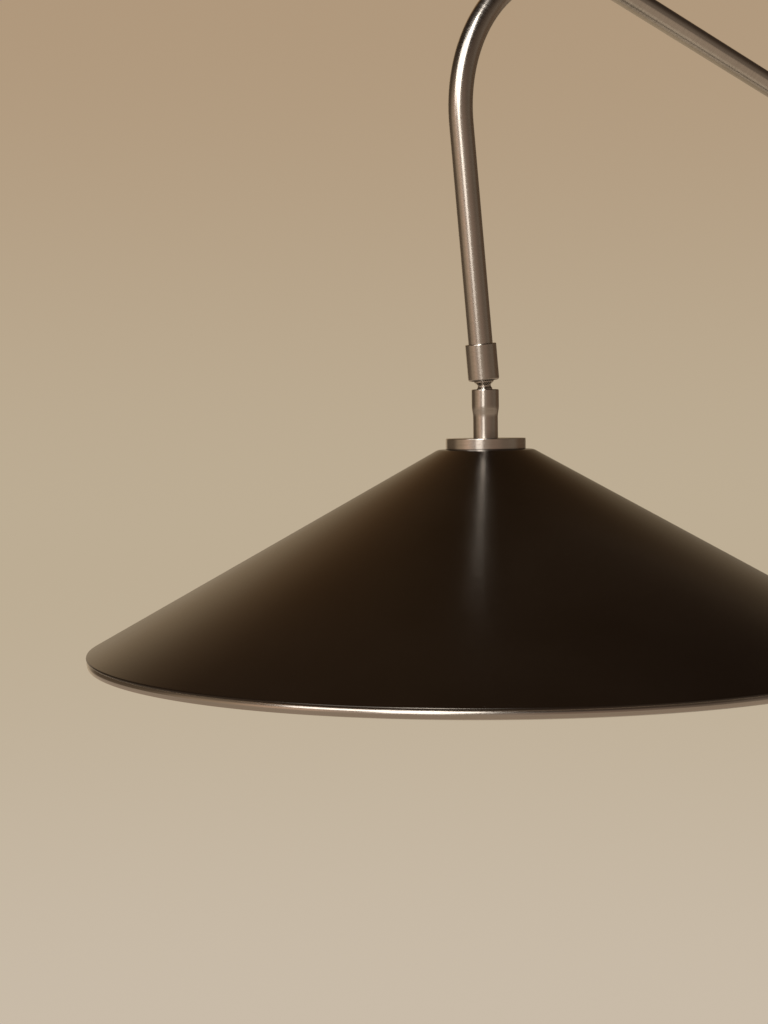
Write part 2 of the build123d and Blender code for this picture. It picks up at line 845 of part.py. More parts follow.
def lead_in_base():
    """Lead from the inlet to the switch, and from the switch to the foot of the rod."""
    to_switch = Line((base_radius - inlet_length, 0, lead_level), (switch_x + switch_radius, 0, lead_level))
    turn = rod_bottom - lead_level
    run = Line((switch_x - switch_radius, 0, lead_level), (turn, 0, lead_level))
    rise = ThreePointArc((turn, 0, lead_level), (turn * (1 - sin(radians(45))), 0, rod_bottom - turn * sin(
        radians(45))), (0, 0, rod_bottom))
    return [piped(to_switch, lead_radius), piped(run + rise, lead_radius)]


def lead_in_upright():
    """Lead up the rod and the upright, ending below the arm's lowest setting."""
    return rod(lead_radius, rod_bottom, leg_end - slide_down - end_clearance)


def lead_in_arm():
    """Lead along the arm, from the glide to just above the ball stud."""
    lower = piped(lower_path(leg_end), lead_radius)
    upper = piped(upper_path(ferrule_bottom + stud_thread_length), lead_radius)
    return lower + upper


def lead_in_stud():
    """Lead through the ball stud's bore."""
    return drop_frame * rod(lead_radius, 1.2, ferrule_bottom + stud_thread_length)


def lead_in_head():
    """Lead from the ball down the stem and nipple to the lampholder's core."""
    return head_frame * rod(lead_radius, -holder_bottom, -1.2)


pieces = [
    base_felt, base_plate, base_plate_screws, base_weight, base_rim_band, base_cover, base_rod,
    base_washer, base_nut, cable_inlet, switch_housing, switch_bezel, foot_button, switch_spring,
    upright_foot, upright_grub_screws, upright_tube, upright_top_plug, collar_body,
    collar_grub_screws, collar_liner, clamp_pad, clamp_stud, clamp_knob, arm_tube_lower,
    arm_tube_upper, arm_spigot, arm_grub_screws, glide_pins, arm_glide, arm_ferrule, ball_stud,
    ball_seat, socket_barrel, shade_stem, cap_disc, shade, shade_rim_band, stem_nipple,
    shade_washer, shade_nut, lampholder_cap, lampholder_sleeve, lampholder_core, lamp_thread,
    lamp_contact, bulb_cap, bulb_glass, lead_in_base, lead_in_upright, lead_in_arm, lead_in_stud,
    lead_in_head,
]

os.makedirs("parts", exist_ok=True)
for piece in pieces:
    made = piece()
    if isinstance(made, list):
        made = Compound(children=made)
    export_step(made, f"parts/{piece.__name__}.step")
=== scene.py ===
import json
import logging
from dataclasses import dataclass, field
from enum import Enum
from math import atan2, cos, pi, radians, sin, sqrt, tan
from typing import ClassVar, Iterable, Sequence

import bmesh
import bpy
from mathutils import Matrix, Vector


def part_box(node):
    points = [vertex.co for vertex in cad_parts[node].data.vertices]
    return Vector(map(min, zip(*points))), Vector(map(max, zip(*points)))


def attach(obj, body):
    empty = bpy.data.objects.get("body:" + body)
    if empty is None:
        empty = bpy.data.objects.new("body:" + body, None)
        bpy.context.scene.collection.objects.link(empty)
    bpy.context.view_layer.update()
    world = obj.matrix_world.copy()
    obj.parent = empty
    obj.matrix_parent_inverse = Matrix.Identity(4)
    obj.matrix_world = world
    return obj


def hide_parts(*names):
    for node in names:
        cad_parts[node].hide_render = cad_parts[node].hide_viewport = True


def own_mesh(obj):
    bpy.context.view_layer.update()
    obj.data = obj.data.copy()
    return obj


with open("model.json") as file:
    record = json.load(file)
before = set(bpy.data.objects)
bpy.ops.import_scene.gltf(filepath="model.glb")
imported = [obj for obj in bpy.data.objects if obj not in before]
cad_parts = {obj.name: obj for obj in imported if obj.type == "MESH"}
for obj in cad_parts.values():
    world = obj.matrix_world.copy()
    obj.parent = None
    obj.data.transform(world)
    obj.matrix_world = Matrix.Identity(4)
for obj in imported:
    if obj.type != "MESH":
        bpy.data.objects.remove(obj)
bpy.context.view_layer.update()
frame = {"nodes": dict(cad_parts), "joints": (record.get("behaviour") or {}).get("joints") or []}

# Looks of an arc floor lamp: a weighted base, an upright, an arm tube that slides in a collar, and a wide
# conical shade on a ball joint. Metres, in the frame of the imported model: +Z up, the origin on the floor
# on the upright's axis, and the arm in the XZ plane with its head end towards -X.

log = logging.getLogger("lamp")

UV_NAME = "UVMap"
RUN_LAYER = "run"
AROUND_LAYER = "around"
MERGE_DISTANCE = 1e-7
SHARP_ANGLE = radians(34)
FINE_STEPS = 288
SMALL_STEPS = 96
FILLET_SEGMENTS = 6
CUT_SPARE = 0.001

# Radii of the small roundings on edges, in metres.
HAIRLINE = 0.0002
BROKEN = 0.0003
EASED = 0.0004
BLUNTED = 0.0005
SOFTENED = 0.0006
ROUNDED = 0.0008
FULL_ROUND = 0.001

Colour = tuple[float, float, float]
Stops = Sequence[tuple[float, Colour]]


def joint_place(name: str) -> Vector:
    """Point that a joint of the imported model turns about.

    Args:
        name: Name of the joint.

    Returns:
        The point, in metres.
    """
    return Vector(next(joint["pos_m"] for joint in frame["joints"] if joint["name"] == name))


def in_plane(angle: float) -> Vector:
    """Unit vector in the arm's plane.

    Args:
        angle: Angle up from +X towards +Z, in degrees.

    Returns:
        The unit vector.
    """
    return Vector((cos(radians(angle)), 0, sin(radians(angle))))


# ---------------------------------------------------------------------------------------------------------
# Finishes
# ---------------------------------------------------------------------------------------------------------


class Tree:
    """Node tree of one material or of the world, with short ways to add and join nodes."""

    def __init__(self, owner: bpy.types.ID) -> None:
        """Empty the owner's tree.

        Args:
            owner: Material or world that the nodes belong to.
        """
        owner.use_nodes = True
        self.nodes = owner.node_tree.nodes
        self.links = owner.node_tree.links
        self.nodes.clear()

    def add(self, kind: str, **settings: object) -> bpy.types.Node:
        """Add a node.

        Args:
            kind: Node type, without the ShaderNode prefix.
            settings: Values of the node's own properties.

        Returns:
            The new node.
        """
        node = self.nodes.new("ShaderNode" + kind)
        for name, value in settings.items():
            setattr(node, name, value)
        return node

    def feed(self, source: object, target: bpy.types.NodeSocket) -> None:
        """Link a socket to a target, or set the target where the source is a plain value.

        Args:
            source: Socket, number or colour.
            target: Input socket.
        """
        if isinstance(source, bpy.types.NodeSocket):
            self.links.new(source, target)
        else:
            target.default_value = source

    def sum_up(self, operation: str, *values: object) -> bpy.types.NodeSocket:
        """Do a sum on sockets or numbers.

        Args:
            operation: Name of the Math node's operation.
            values: Sockets or numbers, in order.

        Returns:
            Socket with the result.
        """
        node = self.add("Math", operation=operation)
        for value, target in zip(values, node.inputs):
            self.feed(value, target)
        return node.outputs[0]

    def spread(self, value: bpy.types.NodeSocket, low: float, high: float,
               source_low: float = 0.0, source_high: float = 1.0) -> bpy.types.NodeSocket:
        """Map a value from one range to another.

        Args:
            value: Socket with the value.
            low: Result at the range's lower end.
            high: Result at the range's upper end.
            source_low: Lower end of the range.
            source_high: Upper end of the range.

        Returns:
            Socket with the mapped value.
        """
        node = self.add("MapRange")
        for amount, target in zip((value, source_low, source_high, low, high), node.inputs):
            self.feed(amount, target)
        return node.outputs[0]

    def noise(self, vector: bpy.types.NodeSocket, scale: float, detail: float = 3.0) -> bpy.types.NodeSocket:
        """Add a noise pattern.

        Args:
            vector: Socket with the place on the surface.
            scale: Grains in a metre, or in a unit of the vector.
            detail: Layers of finer grain.

        Returns:
            Socket with a value about one half.
        """
        node = self.add("TexNoise")
        self.feed(vector, node.inputs["Vector"])
        node.inputs["Scale"].default_value = scale
        node.inputs["Detail"].default_value = detail
        return node.outputs[0]

    def blend(self, factor: object, first: object, second: object, mode: str = "MIX") -> bpy.types.NodeSocket:
        """Mix two colours.

        Args:
            factor: Share of the second colour.
            first: Socket or colour.
            second: Socket or colour.
            mode: Blend type of the Mix node.

        Returns:
            Socket with the mixed colour.
        """
        node = self.add("Mix", data_type="RGBA", blend_type=mode)
        self.feed(factor, node.inputs[0])
        for source, target in ((first, node.inputs[6]), (second, node.inputs[7])):
            self.feed(source if isinstance(source, bpy.types.NodeSocket) else (*source, 1.0), target)
        return node.outputs[2]

    def ramp(self, value: bpy.types.NodeSocket, stops: Stops) -> bpy.types.NodeSocket:
        """Turn a value into a colour.

        Args:
            value: Socket with the value.
            stops: Places from 0 to 1 and their colours, in order.

        Returns:
            Socket with the colour.
        """
        node = self.add("ValToRGB")
        node.color_ramp.interpolation = "EASE"
        elements = node.color_ramp.elements
        while len(elements) < len(stops):
            elements.new(1.0)
        for element, (place, colour) in zip(elements, stops):
            element.position = place
            element.color = (*colour, 1.0)
        self.feed(value, node.inputs[0])
        return node.outputs[0]

    def object_place(self) -> bpy.types.NodeSocket:
        """Socket with the place on the object, in metres."""
        return self.add("TexCoord").outputs["Object"]

    def turning_place(self, around: float, along: float) -> bpy.types.NodeSocket:
        """Place on a turned surface, closed where the unwrapping starts again.

        Args:
            around: Size of the circle that stands for one turn. A small one draws the pattern out.
            along: Stretch of the run along the outline, per metre.

        Returns:
            Socket with the place.
        """
        parts = self.add("SeparateXYZ")
        self.feed(self.add("UVMap", uv_map=UV_NAME).outputs[0], parts.inputs[0])
        angle = self.sum_up("MULTIPLY", parts.outputs[0], 2 * pi)
        place = self.add("CombineXYZ")
        self.feed(self.sum_up("MULTIPLY", self.sum_up("COSINE", angle), around), place.inputs[0])
        self.feed(self.sum_up("MULTIPLY", self.sum_up("SINE", angle), around), place.inputs[1])
        self.feed(self.sum_up("MULTIPLY", parts.outputs[1], along), place.inputs[2])
        return place.outputs[0]

    def relief(self, height: bpy.types.NodeSocket, strength: float, depth: float) -> bpy.types.NodeSocket:
        """Turn a height into a bump.

        Args:
            height: Socket with the height, from 0 to 1.
            strength: Share of the bump, from 0 to 1.
            depth: Depth of the relief in metres.

        Returns:
            Socket with the normal.
        """
        node = self.add("Bump")
        node.inputs["Strength"].default_value = strength
        node.inputs["Distance"].default_value = depth
        self.feed(height, node.inputs["Height"])
        return node.outputs[0]

    def principled(self, **values: object) -> bpy.types.Node:
        """Add the surface shader and its output.

        Args:
            values: Inputs by name, with underscores for spaces, as sockets or plain values.

        Returns:
            The shader node.
        """
        shader = self.add("BsdfPrincipled")
        output = self.add("OutputMaterial")
        self.links.new(shader.outputs[0], output.inputs["Surface"])
        for name, value in values.items():
            target = shader.inputs[name.replace("_", " ")]
            self.feed((*value, 1.0) if isinstance(value, tuple) and len(value) == 3 else value, target)
        return shader


@dataclass(frozen=True)
class Finish:
    """A finish, which makes its material once and then hands it out again."""

    name: str
    made: ClassVar[dict[str, bpy.types.Material]] = {}

    def material(self) -> bpy.types.Material:
        """Material of this finish."""
        if self.name not in Finish.made:
            material = bpy.data.materials.new(self.name)
            self.mix(Tree(material))
            Finish.made[self.name] = material
        return Finish.made[self.name]

    def mix(self, tree: Tree) -> None:
        """Build the nodes.

        Args:
            tree: Empty node tree of the material.
        """
        raise NotImplementedError


@dataclass(frozen=True)
class BrushedNickel(Finish):
    """Nickel plate over fine brushing that runs round the piece, so that reflections draw out lengthwise."""

    tint: Colour = (0.60, 0.565, 0.525)
    shade_tint: Colour = (0.50, 0.465, 0.425)
    smooth: float = 0.18
    rough: float = 0.30
    anisotropy: float = 0.55
    lines: float = 2600.0
    depth: float = 0.000008

    def mix(self, tree: Tree) -> None:
        """Build the nodes.

        Args:
            tree: Empty node tree of the material.
        """
        fine = tree.noise(tree.turning_place(0.9, self.lines), 1.0, 4.0)
        broad = tree.noise(tree.turning_place(0.35, 0.22 * self.lines), 1.0, 2.0)
        cloud = tree.noise(tree.object_place(), 14.0, 3.0)
        brushing = tree.sum_up("MULTIPLY_ADD", broad, 0.55, tree.sum_up("MULTIPLY", fine, 0.45))
        wear = tree.sum_up("MULTIPLY_ADD", cloud, 0.35, tree.sum_up("MULTIPLY", brushing, 0.65))
        tangent = tree.add("Tangent", direction_type="UV_MAP", uv_map=UV_NAME)
        tree.principled(
            Base_Color=tree.blend(tree.spread(wear, 0.0, 1.0, 0.35, 0.65), self.tint, self.shade_tint),
            Metallic=1.0,
            Roughness=tree.spread(brushing, self.smooth, self.rough, 0.32, 0.68),
            Anisotropic=self.anisotropy,
            Anisotropic_Rotation=0.25,
            Tangent=tangent.outputs[0],
            Normal=tree.relief(brushing, 0.35, self.depth),
        )


@dataclass(frozen=True)
class BronzeLacquer(Finish):
    """Dark bronze lacquer, satin, over a spun metal blank whose turning lines just show."""

    deep: Colour = (0.0074, 0.0043, 0.0026)
    light: Colour = (0.0104, 0.0065, 0.0042)
    smooth: float = 0.18
    rough: float = 0.24

    def mix(self, tree: Tree) -> None:
        """Build the nodes.

        Args:
            tree: Empty node tree of the material.
        """
        cloud = tree.noise(tree.object_place(), 9.0, 4.0)
        flecks = tree.noise(tree.object_place(), 1900.0, 2.0)
        turning = tree.noise(tree.turning_place(0.12, 420.0), 1.0, 3.0)
        mottle = tree.sum_up("MULTIPLY_ADD", cloud, 0.7, tree.sum_up("MULTIPLY", flecks, 0.3))
        height = tree.sum_up("MULTIPLY_ADD", turning, 0.5, tree.sum_up("MULTIPLY", flecks, 0.5))
        tree.principled(
            Base_Color=tree.blend(tree.spread(mottle, 0.0, 1.0, 0.35, 0.65), self.deep, self.light),
            Metallic=0.0,
            Roughness=tree.spread(mottle, self.smooth, self.rough, 0.3, 0.7),
            IOR=1.5,
            Specular_Tint=(1.0, 0.9, 0.8),
            Normal=tree.relief(height, 0.35, 0.00003),
        )


@dataclass(frozen=True)
class Enamel(Finish):
    """Sprayed enamel with a trace of orange peel."""

    colour: Colour = (0.80, 0.77, 0.70)
    gloss: float = 0.38

    def mix(self, tree: Tree) -> None:
        """Build the nodes.

        Args:
            tree: Empty node tree of the material.
        """
        peel = tree.noise(tree.object_place(), 620.0, 2.0)
        dust = tree.noise(tree.object_place(), 22.0, 4.0)
        darker = tuple(0.93 * part for part in self.colour)
        tree.principled(
            Base_Color=tree.blend(tree.spread(dust, 0.0, 1.0, 0.35, 0.7), self.colour, darker),
            Roughness=tree.spread(dust, self.gloss - 0.05, self.gloss + 0.08),
            Normal=tree.relief(peel, 0.25, 0.00008),
        )


@dataclass(frozen=True)
class PlainMetal(Finish):
    """Bare or plated metal with faint blotches and tool marks."""

    bright: Colour = (0.55, 0.55, 0.56)
    dull: Colour = (0.40, 0.40, 0.41)
    smooth: float = 0.28
    rough: float = 0.45
    metallic: float = 1.0
    grain: float = 900.0

    def mix(self, tree: Tree) -> None:
        """Build the nodes.

        Args:
            tree: Empty node tree of the material.
        """
        blotch = tree.noise(tree.object_place(), 60.0, 4.0)
        grain = tree.noise(tree.object_place(), self.grain, 3.0)
        tree.principled(
            Base_Color=tree.blend(tree.spread(blotch, 0.0, 1.0, 0.35, 0.65), self.bright, self.dull),
            Metallic=self.metallic,
            Roughness=tree.spread(blotch, self.smooth, self.rough, 0.3, 0.7),
            Normal=tree.relief(grain, 0.3, 0.00005),
        )


@dataclass(frozen=True)
class Moulding(Finish):
    """Moulded or fired material: plastic, nylon or ceramic, with a fine surface grain."""

    colour: Colour = (0.012, 0.012, 0.012)
    lighter: Colour = (0.02, 0.02, 0.02)
    gloss: float = 0.42
    grain: float = 2400.0

    def mix(self, tree: Tree) -> None:
        """Build the nodes.

        Args:
            tree: Empty node tree of the material.
        """
        flow = tree.noise(tree.object_place(), 40.0, 3.0)
        grain = tree.noise(tree.object_place(), self.grain, 2.0)
        tree.principled(
            Base_Color=tree.blend(tree.spread(flow, 0.0, 1.0, 0.3, 0.7), self.colour, self.lighter),
            Roughness=tree.spread(flow, self.gloss - 0.05, self.gloss + 0.07),
            Normal=tree.relief(grain, 0.3, 0.00004),
        )


@dataclass(frozen=True)
class Felt(Finish):
    """Pressed felt: matted fibres with a soft edge glow."""

    dark: Colour = (0.012, 0.012, 0.012)
    pale: Colour = (0.045, 0.043, 0.04)

    def mix(self, tree: Tree) -> None:
        """Build the nodes.

        Args:
            tree: Empty node tree of the material.
        """
        fibres = tree.noise(tree.object_place(), 1500.0, 6.0)
        clumps = tree.noise(tree.object_place(), 220.0, 3.0)
        mat = tree.sum_up("MULTIPLY_ADD", fibres, 0.6, tree.sum_up("MULTIPLY", clumps, 0.4))
        tree.principled(
            Base_Color=tree.blend(tree.spread(mat, 0.0, 1.0, 0.35, 0.65), self.dark, self.pale),
            Roughness=tree.spread(fibres, 0.85, 1.0),
            Sheen_Weight=0.4,
            Normal=tree.relief(mat, 0.8, 0.0003),
        )


@dataclass(frozen=True)
class OpalGlass(Finish):
    """Opal glass of an unlit bulb: milky, glossy and slightly uneven."""

    milk: Colour = (0.86, 0.85, 0.81)
    cloud: Colour = (0.78, 0.77, 0.73)

    def mix(self, tree: Tree) -> None:
        """Build the nodes.

        Args:
            tree: Empty node tree of the material.
        """
        swirl = tree.noise(tree.object_place(), 45.0, 3.0)
        tree.principled(
            Base_Color=tree.blend(swirl, self.milk, self.cloud),
            Roughness=tree.spread(swirl, 0.10, 0.16),
            Subsurface_Weight=0.35,
            Subsurface_Scale=0.006,
            Coat_Weight=0.4,
            Coat_Roughness=0.05,
            Normal=tree.relief(swirl, 0.1, 0.0002),
        )


class Finishes(Enum):
    """Every finish on the lamp."""

    TUBE = BrushedNickel("brushed_nickel_tube")
    TURNED = BrushedNickel("brushed_nickel_turned", smooth=0.17, rough=0.27, anisotropy=0.75, lines=3400.0)
    BAND = BrushedNickel("polished_nickel_band", smooth=0.14, rough=0.24, anisotropy=0.3, lines=2600.0)
    SHADE_OUTSIDE = BronzeLacquer("bronze_lacquer_shade")
    BASE_COVER = BronzeLacquer("bronze_lacquer_base", smooth=0.33, rough=0.42)
    SHADE_INSIDE = Enamel("warm_white_enamel")
    STEEL = PlainMetal("zinc_plated_steel")
    IRON = PlainMetal("primed_cast_iron", bright=(0.05, 0.05, 0.052), dull=(0.03, 0.03, 0.032),
                      smooth=0.6, rough=0.8, metallic=0.2, grain=380.0)
    BRASS = PlainMetal("bright_brass", bright=(0.80, 0.60, 0.28), dull=(0.62, 0.44, 0.19),
                       smooth=0.2, rough=0.34)
    BULB_SHELL = PlainMetal("bulb_shell_aluminium", bright=(0.78, 0.78, 0.77), dull=(0.66, 0.66, 0.66),
                            smooth=0.2, rough=0.33)
    BLACK = Moulding("black_moulding")
    NYLON = Moulding("natural_nylon", colour=(0.72, 0.70, 0.64), lighter=(0.80, 0.79, 0.74), gloss=0.38)
    CERAMIC = Moulding("white_steatite", colour=(0.80, 0.78, 0.73), lighter=(0.87, 0.86, 0.82), gloss=0.3)
    LEAD = Moulding("black_lead", colour=(0.01, 0.01, 0.01), lighter=(0.018, 0.018, 0.018), gloss=0.5)
    FELT = Felt("black_felt")
    OPAL = OpalGlass("opal_bulb_glass")


# ---------------------------------------------------------------------------------------------------------
# Making meshes
# ---------------------------------------------------------------------------------------------------------


@dataclass(frozen=True)
class Corner:
    """Corner of a turned outline: its radius, its height and the radius that rounds it, in metres."""

    radius: float
    height: float
    fillet: float = 0.0

    def point(self) -> Vector:
        """The corner in the XZ plane."""
        return Vector((self.radius, 0, self.height))


def on_arc(radius: float, start: float, end: float, count: int, centre: float = 0.0) -> list[Corner]:
    """Corners along an arc about a point on the axis.

    Args:
        radius: Radius of the arc.
        start: First angle above level, in degrees.
        end: Last angle, in degrees.
        count: How many corners.
        centre: Height of the arc's centre.

    Returns:
        The corners, in order.
    """
    angles = [radians(start + (end - start) * step / (count - 1)) for step in range(count)]
    return [Corner(max(radius * cos(angle), 0.0), centre + radius * sin(angle)) for angle in angles]


def fillet_reach(before: Vector, corner: Vector, after: Vector, radius: float) -> float:
    """How far along its edges a rounded corner starts.

    Args:
        before: Corner before.
        corner: The corner itself.
        after: Corner after.
        radius: Radius of the rounding.

    Returns:
        Distance from the corner to where the rounding ends.
    """
    opening = (before - corner).angle(after - corner)
    return radius / tan(opening / 2)


def round_corners(bm: bmesh.types.BMesh, corners: Sequence[Corner]) -> None:
    """Round the corners of a flat outline.

    Args:
        bm: Mesh that holds the outline's one face, with its vertices in the corners' order.
        corners: The corners.
    """
    bm.verts.ensure_lookup_table()
    jobs = []
    for index, corner in enumerate(corners):
        if corner.fillet:
            before, after = corners[index - 1], corners[(index + 1) % len(corners)]
            reach = fillet_reach(before.point(), corner.point(), after.point(), corner.fillet)
            jobs.append((bm.verts[index], reach))
    for vertex, reach in jobs:
        bmesh.ops.bevel(bm, geom=[vertex], offset=reach, offset_type="OFFSET", affect="VERTICES",
                        segments=FILLET_SEGMENTS, profile=0.5, material=-1, clamp_overlap=False)


def mark_run(bm: bmesh.types.BMesh, start: Vector) -> float:
    """Write each outline vertex's distance along the outline to a layer.

    Args:
        bm: Mesh that holds the outline's one face.
        start: Where the run starts.

    Returns:
        Length of the whole outline.
    """
    run = bm.verts.layers.float.new(RUN_LAYER)
    bm.faces.ensure_lookup_table()
    verts = list(bm.faces[0].verts)
    first = min(range(len(verts)), key=lambda index: (verts[index].co - start).length)
    verts = verts[first:] + verts[:first]
    total = 0.0
    for vertex, following in zip(verts, verts[1:] + verts[:1]):
        vertex[run] = total
        total += (following.co - vertex.co).length
    return total


def unwrap_turned(bm: bmesh.types.BMesh, total: float) -> None:
    """Unwrap a turned mesh: one turn is one unit across, and the run along the outline is in metres.

    Args:
        bm: Mesh about the Z axis, with the run layer.
        total: Length of the whole outline.
    """
    run = bm.verts.layers.float[RUN_LAYER]
    unwrapped = bm.loops.layers.uv.new(UV_NAME)
    for face in bm.faces:
        middle = face.calc_center_median()
        facing = atan2(middle.y, middle.x) / (2 * pi)
        farthest = max(vertex[run] for vertex in face.verts)
        for loop in face.loops:
            place = loop.vert.co
            on_axis = place.xy.length < MERGE_DISTANCE
            turn = facing if on_axis else atan2(place.y, place.x) / (2 * pi)
            turn += round(facing - turn)
            along = loop.vert[run]
            if farthest - along > total / 2:
                along += total
            loop[unwrapped].uv = (turn, along)


def spun(corners: Sequence[Corner], steps: int = SMALL_STEPS) -> bmesh.types.BMesh:
    """Turn an outline about the Z axis.

    Args:
        corners: Closed outline. Two corners on the axis close it there.
        steps: Facets in one turn.

    Returns:
        Closed mesh with its normals outwards and unwrapped.
    """
    bm = bmesh.new()
    bm.faces.new([bm.verts.new(corner.point()) for corner in corners])
    round_corners(bm, corners)
    total = mark_run(bm, corners[0].point())
    bmesh.ops.delete(bm, geom=bm.faces[:], context="FACES_ONLY")
    axis_edges = [e for e in bm.edges if all(v.co.x < MERGE_DISTANCE for v in e.verts)]
    bmesh.ops.delete(bm, geom=axis_edges, context="EDGES")
    bmesh.ops.spin(bm, geom=bm.verts[:] + bm.edges[:], cent=(0, 0, 0), axis=(0, 0, 1), dvec=(0, 0, 0),
                   angle=2 * pi, steps=steps, use_merge=True, use_normal_flip=False, use_duplicate=False)
    bmesh.ops.remove_doubles(bm, verts=bm.verts[:], dist=MERGE_DISTANCE)
    bmesh.ops.recalc_face_normals(bm, faces=bm.faces[:])
    unwrap_turned(bm, total)
    return bm


def pointing(direction: Vector, place: Vector) -> Matrix:
    """Transform that takes a piece drawn on the Z axis to a place and a direction.

    Args:
        direction: Where its +Z is to point.
        place: Where its origin is to lie.

    Returns:
        The transform.
    """
    return Matrix.Translation(place) @ Vector((0, 0, 1)).rotation_difference(direction).to_matrix().to_4x4()


def moved(bm: bmesh.types.BMesh, transform: Matrix) -> bmesh.types.BMesh:
    """Move a mesh.

    Args:
        bm: Mesh to move.
        transform: The transform.

    Returns:
        The same mesh.
    """
    bmesh.ops.transform(bm, matrix=transform, verts=bm.verts[:])
    return bm


def pin(radius: float, length: float, transform: Matrix, steps: int = 32) -> bmesh.types.BMesh:
    """Round cutter for a hole, standing on the Z axis before it is moved.

    Args:
        radius: Radius of the hole.
        length: Length of the cutter.
        transform: Where it goes.
        steps: Facets round it.

    Returns:
        The cutter's mesh.
    """
    return moved(spun([Corner(0, 0), Corner(radius, 0), Corner(radius, length), Corner(0, length)], steps),
                 transform)


def as_object(name: str, bm: bmesh.types.BMesh) -> bpy.types.Object:
    """Make an object from a mesh in the making.

    Args:
        name: Name of the object.
        bm: The mesh, which is used up.

    Returns:
        The object, at the origin and unturned.
    """
    mesh = bpy.data.meshes.new(name)
    bm.to_mesh(mesh)
    bm.free()
    made = bpy.data.objects.new(name, mesh)
    bpy.context.scene.collection.objects.link(made)
    return made


def drill(piece: bpy.types.Object, cutters: Iterable[bmesh.types.BMesh]) -> None:
    """Cut holes in a piece.

    Args:
        piece: The piece, whose mesh is replaced.
        cutters: One mesh for each hole.
    """
    for index, cutter in enumerate(cutters):
        tool = as_object(f"{piece.name}_cutter_{index}", cutter)
        cut = piece.modifiers.new("cut", "BOOLEAN")
        cut.operation = "DIFFERENCE"
        cut.solver = "EXACT"
        cut.object = tool
        bpy.context.view_layer.update()
        solid = bpy.data.meshes.new_from_object(piece.evaluated_get(bpy.context.evaluated_depsgraph_get()))
        piece.modifiers.clear()
        piece.data = solid
        bpy.data.objects.remove(tool)


@dataclass(frozen=True)
class Place:
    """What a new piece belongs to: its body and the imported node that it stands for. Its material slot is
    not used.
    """

    body: str
    slot: str
    node: str


def dress(name: str, bm: bmesh.types.BMesh, finish: Finishes, place: Place,
          holes: Iterable[bmesh.types.BMesh] = ()) -> bpy.types.Object:
    """Finish a new piece: make its object, cut its holes, shade it, paint it and fix it to its body.

    Args:
        name: Name of the piece.
        bm: Its mesh.
        finish: Its finish.
        place: What it belongs to.
        holes: Cutters for its holes.

    Returns:
        The piece.
    """
    piece = as_object(name, bm)
    drill(piece, holes)
    mesh = piece.data
    mesh.materials.clear()
    mesh.materials.append(finish.value.material())
    mesh.shade_smooth()
    mesh.set_sharp_from_angle(angle=SHARP_ANGLE)
    weighted = piece.modifiers.new("weighted_normals", "WEIGHTED_NORMAL")
    weighted.keep_sharp = True
    weighted.weight = 80
    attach(piece, place.body)
    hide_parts(place.node)
    log.info("%s: %d faces on %s", name, len(mesh.polygons), place.body)
    return piece


# ---------------------------------------------------------------------------------------------------------
# Stand
# ---------------------------------------------------------------------------------------------------------


